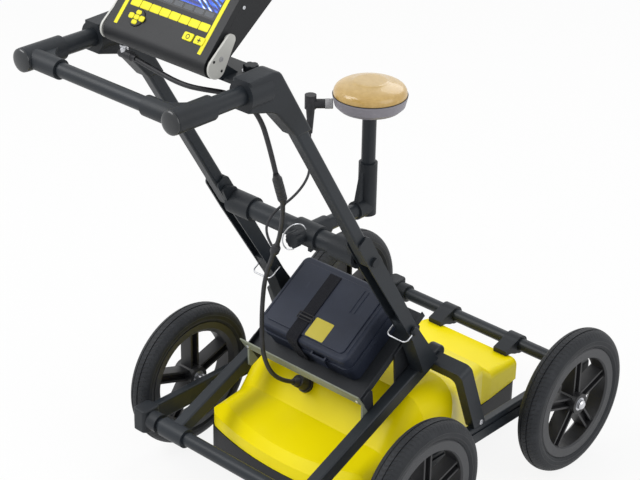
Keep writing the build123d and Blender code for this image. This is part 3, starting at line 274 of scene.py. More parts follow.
def coverYellow():
    paint = Paint("coverYellow")
    z = paint.at().parts()[2]
    peel = paint.noise(240, 2)
    cloud = paint.noise(5, 3)
    hair = paint.noise(26, 6, 0.75, paint.at(turn=(0, 0, 0.5), scale=(1, 14, 6))).rise(0.66, 0.70)
    low = (1 - z.rise(0.098, 0.150)) * paint.noise(45, 5, 0.7).rise(0.42, 0.66)
    tone = paint.mix(cloud.rise(0.3, 0.7), (0.915, 0.755, 0.0010), (0.955, 0.805, 0.0012))
    tone = paint.mix(low * 0.08, tone, (0.50, 0.39, 0.02))
    return paint.finish(
        Base_Color=tone, Roughness=0.30 + (cloud - 0.5) * 0.08 + hair * 0.10 + low * 0.10,
        Normal=paint.bump(peel, 0.00014), Specular_IOR_Level=0.16,
    )


def bareSteel(name, colour, rough):
    paint = Paint(name)
    lay = paint.noise(420, 3, 0.6, paint.at(scale=(0.12, 1, 1)))
    cloud = paint.noise(40, 4)
    tone = paint.mix(cloud.rise(0.3, 0.75), [c * 0.78 for c in colour], colour)
    return paint.finish(
        Base_Color=tone, Metallic=1.0, Roughness=rough + (lay - 0.5) * 0.22 + cloud * 0.08,
        Normal=paint.bump(lay, 0.00006),
    )


def domeShell():
    paint = Paint("domeShell")
    z = paint.at((*receiverAxis, 0.845)).parts()[2]
    # the dome's top is painted paler and less saturated: a painted sheen standing in for the reflection on
    # its crown
    paintedSheenTop = z.rise(0.008, 0.029)
    mottle = paint.noise(85, 5, 0.6)
    fine = paint.noise(1500, 2)
    tone = paint.mix(mottle.rise(0.3, 0.75), (0.50, 0.310, 0.078), (0.60, 0.395, 0.125))
    tone = paint.mix(paintedSheenTop * 0.45, tone, (0.480, 0.360, 0.170))
    return paint.finish(
        Base_Color=tone, Roughness=0.32 + mottle * 0.10, Normal=paint.bump(fine, 0.00008),
        Coat_Weight=0.60, Coat_Roughness=0.08,
    )


def wovenWeb():
    paint = Paint("wovenWeb")
    along, across = paint.node("ShaderNodeUVMap", {"uv_map": "strap"}, {}).parts()[:2]
    ribs = (along * 2 * pi / 0.0021).wave()
    threads = (across * 2 * pi / 0.0016).wave()
    weave = ribs * threads
    edge = abs(across - 0.014).rise(0.0113, 0.0127)
    worn = paint.noise(120, 4)
    tone = paint.mix(weave.rise(-0.4, 0.6), (0.0045, 0.0050, 0.0080), (0.0150, 0.0160, 0.0230))
    tone = paint.mix(edge * 0.5, tone, (0.0080, 0.0085, 0.0120))
    tone = paint.mix(worn.rise(0.55, 0.8) * 0.4, tone, (0.0240, 0.0250, 0.0340))
    return paint.finish(
        Base_Color=tone, Roughness=0.82 + worn * 0.12, Normal=paint.bump(weave * (1 - edge), 0.0004),
        Sheen_Weight=0.04, Sheen_Roughness=0.5, Specular_IOR_Level=0.20,
    )


def cableJacket():
    paint = Paint("cableJacket")
    cloud = paint.noise(55, 4)
    fine = paint.noise(1100, 2)
    tone = paint.mix(cloud.rise(0.3, 0.75), (0.0095, 0.010, 0.0125), (0.026, 0.027, 0.032))
    return paint.finish(
        Base_Color=tone, Roughness=0.46 + cloud * 0.18,
        Normal=paint.bump(fine, 0.00007), Specular_IOR_Level=0.45,
    )


charcoal = (0.0150, 0.0190, 0.0240)


def trayCoat():
    paint = Paint("trayCoat")
    speck = paint.cells(260)
    cloud = paint.noise(11, 4)
    tone = paint.mix(cloud.rise(0.3, 0.7), (0.185, 0.203, 0.152), (0.255, 0.275, 0.215))
    tone = paint.mix((1 - speck.rise(0.12, 0.30)) * 0.4, tone, (0.080, 0.090, 0.065))
    y, z = paint.at(trayFoot).parts()[1:]
    floor = (y * cos(traySlope) + z * sin(traySlope)).rise(-0.0004, 0.0002)    # all but the lip is dark
    tone = paint.mix(floor, tone, (0.0135, 0.0160, 0.0200))
    return paint.finish(
        Base_Color=tone, Roughness=0.50 + cloud * 0.18,
        Normal=paint.bump(speck, 0.00012), Specular_IOR_Level=0.35,
    )


def boardGreen():
    paint = Paint("boardGreen")
    tracks = paint.cells(95, feature="DISTANCE_TO_EDGE")
    cloud = paint.noise(30, 3)
    tone = paint.mix(tracks.rise(0.03, 0.06), (0.045, 0.20, 0.085), (0.018, 0.105, 0.048))
    return paint.finish(Base_Color=tone, Roughness=0.42 + cloud * 0.2, Normal=paint.bump(tracks, 0.0002))


def screenPicture():
    paint = Paint("screenPicture")
    x, y, z = paint.at(tiltAxis).parts()
    u = y * sin(displayLean) + z * cos(displayLean)
    ripple = paint.noise(22, 4, 0.5, paint.at(scale=(1, 3, 3)))
    arch = ((x + 0.030) * (x + 0.030) + 0.0004).root()
    arch2 = ((x - 0.045) * (x - 0.045) + 0.0003).root()
    depth = 0.172 - u
    layers = (depth * 520 + ripple * 7).wave() * 0.5
    echoes = ((depth - 0.030 - arch * 0.55) * 760).wave()
    echoes = echoes * (depth - 0.028 - arch * 0.55).band(0.0, 0.012, 0.004)
    echoes2 = ((depth - 0.055 - arch2 * 0.45) * 820).wave()
    echoes2 = echoes2 * (depth - 0.052 - arch2 * 0.45).band(0.0, 0.010, 0.004)
    trace = 0.46 + layers * 0.30 + echoes * 0.45 + echoes2 * 0.38
    colour = paint.ramp(trace, [
        (0.0, (0.002, 0.002, 0.010)), (0.32, (0.002, 0.008, 0.10)), (0.54, (0.004, 0.045, 0.46)),
        (0.72, (0.020, 0.16, 0.80)), (0.88, (0.34, 0.55, 0.86)), (1.0, (0.80, 0.84, 0.86)),
    ])
    barLow = 1 - u.rise(0.0795, 0.0800)
    barHigh = u.rise(0.1720, 0.1725)
    tabs = (x * 2 * pi / 0.024).wave().rise(-0.86, -0.80)
    colour = paint.mix(barLow + barHigh, colour, (0.006, 0.007, 0.010))
    colour = paint.mix(barLow * tabs * u.band(0.0695, 0.0775, 0.0004), colour, (0.040, 0.046, 0.056))
    rim = abs(x).rise(0.0915, 0.0920) + (1 - u.rise(0.0680, 0.0685)) + u.rise(0.1790, 0.1795)
    colour = paint.mix(rim.rise(0.2, 0.8), colour, (0.008, 0.008, 0.010))
    return paint.finish(
        Base_Color=colour, Roughness=0.14 + ripple * 0.06,
        Emission_Color=colour, Emission_Strength=0.30, Specular_IOR_Level=0.20,
    )


wheelCentres = {
    "front_left": (-0.313, 0.4025, 0.155), "front_right": (0.313, 0.4025, 0.155),
    "rear_left": (-0.313, -0.0675, 0.155), "rear_right": (0.313, -0.0675, 0.155),
}
finishes = {
    "frame": powderCoat("frameCoat", charcoal, 0.40),
    "fitting": mouldedPlastic("fittingNylon", (0.0140, 0.0170, 0.0210), 0.16, 0.46, 900, 0.00014),
    "cover": coverYellow(),
    "pan": mouldedPlastic("panBlack", (0.0105, 0.0110, 0.0130), 0.2, 0.55, 700, 0.00020),
    "steel": bareSteel("zincSteel", (0.66, 0.67, 0.70), 0.30),
    "electronics": boardGreen(),
    "dome": domeShell(),
    "receiver": mouldedPlastic("receiverGrey", (0.255, 0.243, 0.272), 0.07, 0.46, 1100, 0.00010),
    "case": mouldedPlastic("caseBlue", (0.0165, 0.0215, 0.0375), 0.14, 0.52, 520, 0.00030),
    "battery": mouldedPlastic("batteryShrink", (0.030, 0.032, 0.038), 0.2, 0.40, 600, 0.00010),
    "webbing": wovenWeb(),
    "tray": trayCoat(),
    "cable": cableJacket(),
    "housing": mouldedPlastic("displayShell", (0.0120, 0.0130, 0.0150), 0.14, 0.48, 640, 0.00024),
    "glass": screenPicture(),
    "key": mouldedPlastic("keyYellow", (0.80, 0.735, 0.012), 0.05, 0.48, 900, 0.00008),
    "plate": powderCoat("plateGrey", (0.56, 0.56, 0.53), 0.40),
    "arrow_pad": mouldedPlastic("padBlack", (0.0120, 0.0125, 0.0140), 0.14, 0.50, 640, 0.00020),
    "label": mouldedPlastic("labelYellow", (0.52, 0.440, 0.060), 0.06, 0.55, 700, 0.00006),
    "sign": mouldedPlastic("signBlack", (0.0160, 0.0160, 0.0170), 0.10, 0.55, 800, 0.00006),
    "sleeve": mouldedPlastic("sleeveGrey", (0.36, 0.36, 0.37), 0.06, 0.42, 900, 0.00008),
    "domeBolt": mouldedPlastic("capBlack", (0.0150, 0.0175, 0.0205), 0.12, 0.22, 700, 0.00004, 0.6),
}
for site, centre in wheelCentres.items():
    finishes["tyre_" + site] = tyreRubber("tyreRubber_" + site, centre)
    finishes["rim_" + site] = rimMoulding("rimMoulding_" + site, centre)
for row in frame["record"]["subparts"]:
    node = row["node"]
    nodes[node].data.materials.clear()
    nodes[node].data.materials.append(finishes.get(node) or finishes[row["material_slot"]])
print("finishes on the frame's nodes:", len(finishes))


# Modelling helpers
def clearPick():
    if bpy.context.object and bpy.context.object.mode != "OBJECT":
        bpy.ops.object.mode_set(mode="OBJECT")
    bpy.ops.object.select_all(action="DESELECT")


def pickFaces(obj, test):
    bpy.ops.mesh.select_mode(type="FACE")
    bpy.ops.mesh.select_all(action="DESELECT")
    form = bmesh.from_edit_mesh(obj.data)
    for face in form.faces:
        face.select_set(bool(test(face)))
    bmesh.update_edit_mesh(obj.data)


def pickEdges(obj, test):
    bpy.ops.mesh.select_mode(type="EDGE")
    bpy.ops.mesh.select_all(action="DESELECT")
    form = bmesh.from_edit_mesh(obj.data)
    for edge in form.edges:
        edge.select_set(bool(test(edge.verts[0].co, edge.verts[1].co)))
    bmesh.update_edit_mesh(obj.data)


def settle(obj, stance):    # place and turn go into the mesh
    clearPick()
    obj.select_set(True)
    bpy.context.view_layer.objects.active = obj
    obj.matrix_world = stance @ obj.matrix_world
    bpy.ops.object.transform_apply(location=True, rotation=True, scale=True)
    return obj


def dress(obj, finish, body, smooth=35):
    clearPick()
    obj.select_set(True)
    bpy.context.view_layer.objects.active = obj
    if obj.type == "MESH":
        bpy.ops.object.shade_smooth_by_angle(angle=radians(smooth))
    obj.data.materials.clear()
    obj.data.materials.append(finish)
    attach(obj, body)
    return obj


def turned(name, rings, stance, facets=32):    # rings of (radius, height), first and last closed
    clearPick()
    radius, height = rings[0]
    bpy.ops.mesh.primitive_circle_add(
        vertices=facets, radius=radius, fill_type="NGON", location=(0, 0, height),
    )
    obj = bpy.context.object
    obj.name = name
    bpy.ops.object.transform_apply(location=True)
    bpy.ops.object.mode_set(mode="EDIT")
    bpy.ops.mesh.select_mode(type="FACE")
    bpy.ops.mesh.select_all(action="SELECT")
    for nextRadius, nextHeight in rings[1:]:
        bpy.ops.mesh.extrude_region_move(TRANSFORM_OT_translate={"value": (0, 0, nextHeight - height)})
        share = nextRadius / radius
        bpy.ops.transform.resize(value=(share, share, 1), center_override=(0, 0, nextHeight))
        radius, height = nextRadius, nextHeight
    bpy.ops.mesh.select_all(action="SELECT")
    bpy.ops.mesh.normals_make_consistent(inside=False)
    bpy.ops.object.mode_set(mode="OBJECT")
    return settle(obj, stance)


def slab(name, size, corner, rim, stance, steps=5):    # rounded corners and a softened front edge
    clearPick()
    bpy.ops.mesh.primitive_cube_add(size=1)
    obj = bpy.context.object
    obj.name = name
    obj.scale = size
    bpy.ops.object.transform_apply(scale=True)
    bpy.ops.object.mode_set(mode="EDIT")
    pickEdges(obj, lambda a, b: abs(a.z - b.z) > size[2] * 0.9)
    bpy.ops.mesh.bevel(offset=corner, segments=steps, affect="EDGES")
    top = size[2] / 2 - 1e-6
    pickEdges(obj, lambda a, b: a.z > top and b.z > top)
    bpy.ops.mesh.bevel(offset=rim, segments=2, affect="EDGES")
    bpy.ops.object.mode_set(mode="OBJECT")
    return settle(obj, stance)


def twin(obj, name, stance):    # a copy with its own mesh
    made = obj.copy()
    made.data = obj.data.copy()
    made.name = name
    made.parent = None
    made.matrix_world = Matrix.Identity(4)
    scene.collection.objects.link(made)
    return settle(made, stance)


def copies(make, stances):    # a piece modelled once, at the first stance, and copied to the others
    names = list(stances)
    first = make(names[0], stances[names[0]])
    back = stances[names[0]].inverted()
    return [first] + [twin(first, name, stances[name] @ back) for name in names[1:]]


def onDisplay(x, u, n):    # millimetres on the display: across, up the face, out of the face
    across = Vector((1, 0, 0))
    up = Vector((0, sin(displayLean), cos(displayLean)))
    out = Vector((0, -cos(displayLean), sin(displayLean)))
    place = Vector(tiltAxis) + (across * x + up * u + out * n) * 0.001
    return Matrix.Translation(place) @ Matrix((across, up, out)).transposed().to_4x4()


def onTray(x, v, w):    # millimetres on the sloping tray: across, up the slope, off the tray
    across = Vector((1, 0, 0))
    up = Vector((0, cos(traySlope), sin(traySlope)))
    out = Vector((0, -sin(traySlope), cos(traySlope)))
    place = Vector(trayFoot) + (across * x + up * v + out * w) * 0.001
    return Matrix.Translation(place) @ Matrix((across, up, out)).transposed().to_4x4()


def aim(place, way):    # local +Z along a direction
    return Matrix.Translation(place) @ Vector(way).to_track_quat("Z", "Y").to_matrix().to_4x4()


def roundWire(name, route, radius, rings, steps):    # a round wire along one smooth spline
    data = bpy.data.curves.new(name, "CURVE")
    data.dimensions = "3D"
    data.bevel_depth = radius
    data.bevel_resolution = rings
    data.use_fill_caps = True
    data.resolution_u = steps
    spline = data.splines.new("NURBS")
    spline.points.add(len(route) - 1)
    for point, place in zip(spline.points, route):
        point.co = (*place, 1)
    spline.order_u = 3
    spline.use_endpoint_u = True
    obj = bpy.data.objects.new(name, data)
    scene.collection.objects.link(obj)
    return obj


# Cables: one smooth spline each, through the route's own points
routes = {
    "lowerCable": [
        (-0.050, -0.0348, 0.2316), (-0.051, -0.0585, 0.243), (-0.058, -0.0885, 0.270),
        (-0.057, -0.1105, 0.318), (-0.052, -0.1205, 0.362), (-0.048, -0.1255, 0.408),
        (-0.042, -0.1295, 0.458), (-0.030, -0.1355, 0.512), (-0.004, -0.1445, 0.566),
        (0.026, -0.1565, 0.620), (0.052, -0.1765, 0.668), (0.076, -0.1985, 0.712),
        (0.094, -0.2185, 0.748),
    ],
    "upperCable": [
        (-0.072, -0.4095, 1.021), (-0.038, -0.4100, 1.016), (-0.004, -0.4095, 1.012),
        (0.028, -0.4095, 1.008), (0.060, -0.4065, 1.006), (0.090, -0.3965, 1.006),
        (0.114, -0.3705, 1.000), (0.126, -0.3345, 0.976), (0.128, -0.3055, 0.934),
        (0.126, -0.2885, 0.891), (0.122, -0.2725, 0.850), (0.116, -0.2555, 0.808),
    ],
    "receiverCable": [
        (-0.0398, -0.0073, 0.7654), (-0.036, -0.0125, 0.730), (-0.021, -0.0255, 0.700),
        (-0.013, -0.0505, 0.682), (-0.014, -0.0825, 0.664), (-0.028, -0.1145, 0.645),
        (-0.028, -0.1425, 0.616), (0.002, -0.1505, 0.598),
    ],
}
cableSizes = {
    "lowerCable": {
        "thick": 0.009, "length": 0.598, "body": "chassis", "node": "lower_cable", "end": "connector",
    },
    "upperCable": {
        "thick": 0.009, "length": 0.430, "body": "handle", "node": "upper_cable", "end": "connector",
    },
    "receiverCable": {
        "thick": 0.005, "length": 0.251, "body": "chassis", "node": "receiver_cable", "end": "object",
    },
}


def cable(name):
    facts = cableSizes[name]
    obj = roundWire(name, routes[name], facts["thick"] / 2, 5, 10)
    dress(obj, finishes["cable"], facts["body"])
    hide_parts(facts["node"])
    return obj


cableFittings = {
    "low": Vector((0.094, -0.2185, 0.748)), "top": Vector((0.116, -0.2555, 0.808)),
    "radius": 0.009, "partingGap": 0.0003,
    "branch": (0.011, -0.1505, 0.593), "branchWay": (0.030, -0.012, 0.054),
    "elbow": (-0.072, -0.4095, 1.021), "nut": (-0.092, -0.4095, 1.023),
}


def cableEnds():
    c = cableFittings
    r = c["radius"]
    way = (c["top"] - c["low"]).normalized()
    half = (c["top"] - c["low"]).length / 2 - c["partingGap"]
    body = [
        (r * 0.55, -0.016), (r * 0.62, -0.012), (r * 0.60, -0.010), (r * 0.72, -0.007),
        (r * 0.68, -0.005), (r * 0.86, 0.0), (r * 0.98, 0.003), (r * 0.98, 0.010),
        (r * 0.86, 0.011), (r * 0.86, 0.014), (r * 0.98, 0.015), (r * 0.98, 0.021),
        (r * 0.86, 0.022), (r * 0.86, 0.025), (r * 1.0, 0.026), (r * 1.0, half - 0.001), (r * 0.9, half),
    ]
    lower = turned("connectorSocket", body, aim(c["low"], way))
    dress(lower, finishes["cable"], "chassis")
    upper = turned("connectorPlug", body, aim(c["top"], -way))
    dress(upper, finishes["cable"], "handle")
    branch = [
        (0.0052, -0.017), (0.0058, -0.013), (0.0056, -0.012), (0.0072, -0.010), (0.0088, -0.006),
        (0.0090, 0.006), (0.0072, 0.010), (0.0056, 0.012), (0.0058, 0.013), (0.0052, 0.017),
    ]
    mould = turned("branchMould", branch, aim(c["branch"], Vector(c["branchWay"]).normalized()))
    dress(mould, finishes["cable"], "chassis")
    shell = [
        (0.0058, -0.010), (0.0062, -0.006), (0.0058, -0.005), (0.0070, -0.001),
        (0.0080, 0.0), (0.0080, 0.028), (0.0070, 0.030),
    ]
    elbow = turned("elbowPlug", shell, aim(c["elbow"], (-1, 0, 0)))
    dress(elbow, finishes["cable"], "handle")
    ring = [
        (0.0064, 0.0), (0.0070, 0.001), (0.0070, 0.009), (0.0062, 0.0097),
        (0.0062, 0.0112), (0.0078, 0.0119), (0.0078, 0.0146), (0.0070, 0.0154),
    ]
    nut = turned("elbowNut", ring, aim(c["nut"], (0, 0, 1)))
    dress(nut, finishes["steel"], "handle")
    return lower, upper, mould, elbow, nut


cables = {name: cable(name) for name in routes}
socketHalf, plugHalf, branchMould, elbowPlug, elbowNut = cableEnds()
print("cables routed:", len(cables))


# Display: edge strips, the flat key row, the pad's petals, key signs and screws
displayTrim = {
    "face": 20, "stripX": 100, "stripWidth": 8.0, "stripLow": 6, "stripHigh": 190,
    "keyRow": 8, "keyFirst": -79, "keyPitch": 23.1, "keyU": 51, "keySize": (22.2, 13.8),
    "pad": (-60, 27), "padTop": 22.5,
    "petals": [
        (-12.4, 0, 11.8, 10.0), (12.4, 0, 11.8, 10.0),
        (0, -8.9, 12.0, 7.6), (0, 8.9, 12.0, 7.6), (0, 0, 11.4, 8.8),
    ],
    "ringKey": 62, "plusKey": 88, "keyTop": 22,
    "plateX": 130.6, "plateScrews": [(15.6, 1.6, 4.4), (4.5, 13.0, 2.4), (1.0, -12.5, 2.4)],
    "wallX": 121, "wallScrew": (107.5, 1.7, 3.2),
}


def screwHead(name, radius, stance):    # a low round head with a socket
    r = radius / 1000
    return turned(name, [
        (r, 0.0), (r, r * 0.18), (r * 0.92, r * 0.30),
        (r * 0.60, r * 0.36), (r * 0.46, r * 0.36), (r * 0.42, r * 0.12),
    ], stance, 20)


def ringWire(name, radius, thick, stance, flat=1.0):    # a closed ring
    clearPick()
    bpy.ops.mesh.primitive_torus_add(
        major_radius=radius, minor_radius=thick, major_segments=64, minor_segments=10,
    )
    obj = bpy.context.object
    obj.name = name
    bpy.ops.object.mode_set(mode="EDIT")
    bpy.ops.mesh.select_all(action="SELECT")
    bpy.ops.transform.resize(value=(1, 1, flat), center_override=(0, 0, 0))
    bpy.ops.object.mode_set(mode="OBJECT")
    return settle(obj, stance)


def joined(name, *pieces):
    clearPick()
    for piece in pieces:
        piece.select_set(True)
    bpy.context.view_layer.objects.active = pieces[0]
    bpy.ops.object.join()
    pieces[0].name = name
    return pieces[0]


def displayTrimPieces():
    d = displayTrim
    stripSize = (d["stripWidth"] / 1000, (d["stripHigh"] - d["stripLow"]) / 1000, 0.0010)
    middle = (d["stripHigh"] + d["stripLow"]) / 2
    strips = copies(
        lambda name, stance: slab(name, stripSize, 0.0015, 0.0003, stance),
        {
            "edgeStrip" + word: onDisplay(side * d["stripX"], middle, d["face"])
            for word, side in sides.items()
        },
    )
    keySize = (d["keySize"][0] / 1000, d["keySize"][1] / 1000, 0.0014)
    row = copies(
        lambda name, stance: slab(name, keySize, 0.0022, 0.0005, stance),
        {
            "flatKey%d" % (i + 1): onDisplay(d["keyFirst"] + i * d["keyPitch"], d["keyU"], d["face"])
            for i in range(d["keyRow"])
        },
    )
    for piece in strips + row:
        dress(piece, finishes["key"], "display")
    for wide, high in dict.fromkeys((wide, high) for x, u, wide, high in d["petals"]):
        petals = copies(
            lambda name, stance: slab(name, (wide / 1000, high / 1000, 0.0014), 0.0034, 0.0006, stance),
            {
                "padPetal%d" % (i + 1): onDisplay(d["pad"][0] + x, d["pad"][1] + u, d["padTop"])
                for i, (x, u, *size) in enumerate(d["petals"]) if tuple(size) == (wide, high)
            },
        )
        for petal in petals:
            dress(petal, finishes["key"], "arrow_pad")
    ring = ringWire("ringSign", 0.0036, 0.0007, onDisplay(d["ringKey"], d["pad"][1], d["keyTop"]), 0.5)
    dress(ring, finishes["sign"], "key_left")
    bars = [
        slab("plusBar", size, 0.0004, 0.0001, onDisplay(d["plusKey"], d["pad"][1], d["keyTop"]), 2)
        for size in ((0.0080, 0.0016, 0.0007), (0.0016, 0.0080, 0.0007))
    ]
    dress(joined("plusSign", *bars), finishes["sign"], "key_right")

    def onWall(side, x, u, n):
        return aim(onDisplay(side * x, u, n).translation, (side, 0, 0))

    big, *small = d["plateScrews"]
    bigScrews = copies(
        lambda name, stance: screwHead(name, big[2], stance),
        {"plateScrew%s1" % word: onWall(side, d["plateX"], *big[:2]) for word, side in sides.items()},
    )
    smallScrews = copies(
        lambda name, stance: screwHead(name, small[0][2], stance),
        {
            "plateScrew%s%d" % (word, i + 2): onWall(side, d["plateX"], u, n)
            for word, side in sides.items() for i, (u, n, radius) in enumerate(small)
        },
    )
    wallScrews = copies(
        lambda name, stance: screwHead(name, d["wallScrew"][2], stance),
        {"wallScrew" + word: onWall(side, d["wallX"], *d["wallScrew"][:2]) for word, side in sides.items()},
    )
    for screws, finish in ((bigScrews, "sleeve"), (smallScrews, "sign"), (wallScrews, "steel")):
        for screw in screws:
            dress(screw, finishes[finish], "display")


displayTrimPieces()
print("display trim done")


# Handle: domed caps on the corner bosses and a bright washer under the tilt knob
handleTrim = {
    "boss": (0.180, -0.5575, 1.025), "capRadius": 0.0205,
    "knob": (0.136, -0.3385, 1.0370), "washer": 0.0150,
}


def handleTrimPieces():
    h = handleTrim
    r = h["capRadius"]
    dome = [
        (r, -0.0010), (r, 0.0004), (r * 0.96, 0.0016), (r * 0.86, 0.0029),
        (r * 0.66, 0.0041), (r * 0.36, 0.0049), (r * 0.10, 0.0052),
    ]
    x, y, z = h["boss"]
    caps = copies(
        lambda name, stance: turned(name, dome, stance, 40),
        {"bossCap" + word: aim((side * x, y, z), (0, -1, 0)) for word, side in sides.items()},
    )
    for cap in caps:
        dress(cap, finishes["domeBolt"], "handle")
    washer = [(h["washer"], 0.0), (h["washer"], 0.00018), (h["washer"] * 0.97, 0.00024)]
    disc = turned("knobWasher", washer, Matrix.Translation(h["knob"]), 40)
    dress(disc, finishes["steel"], "handle")


handleTrimPieces()
print("handle trim done")


# Receiver: the joint line under the dome, the pale sleeve of its plug, and the wire loop at the arm's clamp
receiverTrim = {
    "line": 0.8451, "lineRadius": 0.0697,
    "plugZ": 0.825, "sleeveRadius": 0.0098, "sleeve": (0.0690, 0.0830),
    "loop": [
        (0.048, -0.1090, 0.6335), (0.0465, -0.1130, 0.6420), (0.040, -0.1180, 0.6450),
        (0.028, -0.1230, 0.6400), (0.014, -0.1250, 0.6260), (0.005, -0.1255, 0.6080),
        (0.005, -0.1250, 0.5930), (0.013, -0.1235, 0.5850), (0.023, -0.1215, 0.5860),
        (0.027, -0.1170, 0.5880),
    ],
    "wire": 0.0013,
}


def receiverTrimPieces():
    t = receiverTrim
    x, y = receiverAxis
    line = ringWire("domeLine", t["lineRadius"], 0.0008, Matrix.Translation((x, y, t["line"])))
    dress(line, finishes["sign"], "chassis")
    r = t["sleeveRadius"]
    low, high = t["sleeve"]
    way = Vector((-1, -1, 0)).normalized()
    rings = [
        (r * 0.96, 0.0), (r, 0.0006), (r, 0.0035), (r * 0.95, 0.0040), (r * 0.95, 0.0052),
        (r, 0.0057), (r, high - low - 0.0006), (r * 0.95, high - low),
    ]
    sleeve = turned("plugSleeve", rings, aim(Vector((x, y, t["plugZ"])) + way * low, way))
    dress(sleeve, finishes["sleeve"], "chassis")
    loop = roundWire("clampLoop", t["loop"], t["wire"], 3, 8)
    clearPick()
    loop.select_set(True)
    bpy.context.view_layer.objects.active = loop
    bpy.ops.object.convert(target="MESH")
    dress(bpy.context.object, finishes["steel"], "chassis")


receiverTrimPieces()
print("receiver trim done")


# Frame: bolt heads on the outriggers' feet and the tray's lip
frameBolts = {"foot": (0.262, 0.1755, 0.1817), "footRadius": 5.5, "lip": (146, -3.0, 8.0), "lipRadius": 4.2}


def frameBoltPieces():
    b = frameBolts
    x, y, z = b["foot"]
    feet = copies(
        lambda name, stance: screwHead(name, b["footRadius"], stance),
        {"footBolt" + word: aim((side * x, y, z), (side, 0, 0)) for word, side in sides.items()},
    )
    across, v, w = b["lip"]
    out = onTray(0, 0, 0).to_3x3() @ Vector((0, -1, 0))
    lips = copies(
        lambda name, stance: screwHead(name, b["lipRadius"], stance),
        {"lipBolt" + word: aim(onTray(side * across, v, w).translation, out) for word, side in sides.items()},
    )
    for bolt in feet + lips:
        dress(bolt, finishes["steel"], "chassis")


frameBoltPieces()
print("frame bolts done")


# Label on the case lid, plain
labelPlate = {"x": 25, "v": 71, "size": (46, 43), "top": 77.0}


def labelPiece():
    p = labelPlate
    size = (p["size"][0] / 1000, p["size"][1] / 1000, 0.0008)
    obj = slab("caseLabel", size, 0.003, 0.0003, onTray(p["x"], p["v"], p["top"]))
    return dress(obj, finishes["label"], "case_lid")


labelPiece()


# Lid: two short ribs, the long side ridges and the strap's ladder buckle
lidTrim = {
    "ribs": [(57, 156, 5, 54), (67, 156, 5, 54), (108.5, 118, 3.6, 132), (-108.5, 118, 3.6, 132)],
    "top": 77.0, "shoulder": 74.0,
    "buckle": {"x": -19, "v": 82, "w": 80.4, "size": (36, 15), "bar": 3.0, "thick": 2.4},
}


def ladderBuckle():    # a frame cut through by two windows
    b = lidTrim["buckle"]
    wide, high = (k / 1000 for k in b["size"])
    clearPick()
    bpy.ops.mesh.primitive_cube_add(size=1)
    obj = bpy.context.object
    obj.name = "strapBuckle"
    obj.scale = (wide, high, b["thick"] / 1000)
    bpy.ops.object.transform_apply(scale=True)
    bpy.ops.object.mode_set(mode="EDIT")
    bpy.ops.mesh.select_all(action="SELECT")
    bpy.ops.mesh.bisect(plane_co=(0, 0, 0), plane_no=(0, 1, 0))
    pickFaces(obj, lambda f: abs(f.normal.z) > 0.9)
    bpy.ops.mesh.inset(thickness=b["bar"] / 2000, use_individual=True)
    for sign in (-1, 1):
        def window(face):
            middle = face.calc_center_median()
            flat = abs(face.normal.z) > 0.9 and middle.y * sign > 0.001
            return flat and face.calc_area() > wide * high * 0.25
        pickFaces(obj, window)
        bpy.ops.mesh.bridge_edge_loops()
    pickEdges(obj, lambda a, c: abs(a.z) > b["thick"] / 2000 - 1e-6 and abs(a.z - c.z) < 1e-6)
    bpy.ops.mesh.bevel(offset=0.0005, segments=2, affect="EDGES")
    bpy.ops.object.mode_set(mode="OBJECT")
    return settle(obj, onTray(b["x"], b["v"], b["w"]))


def lidTrimPieces():
    t = lidTrim
    for wide, run in dict.fromkeys((wide, run) for x, v, wide, run in t["ribs"]):
        ribs = copies(
            lambda name, stance: slab(name, (wide / 1000, run / 1000, 0.0026), 0.0016, 0.0008, stance),
            {
                "lidRib%d" % (i + 1): onTray(x, v, t["top"] if abs(x) < 100 else t["shoulder"])
                for i, (x, v, *size) in enumerate(t["ribs"]) if tuple(size) == (wide, run)
            },
        )
        for rib in ribs:
            dress(rib, finishes["case"], "case_lid")
    dress(ladderBuckle(), finishes["sign"], "case_lid")


lidTrimPieces()
print("lid trim done")


# Strap: a ribbon over the lid and down its front
strap = {
    "x": -19, "width": 28, "thick": 1.8,
    "path": [
        (185, 78.3), (150, 78.5), (100, 78.4), (60, 78.5), (40, 78.4), (35.0, 77.4),
        (31.0, 73.4), (28.8, 66.0), (28.6, 50.0), (28.5, 30.0), (28.6, 6.5),
    ],
}


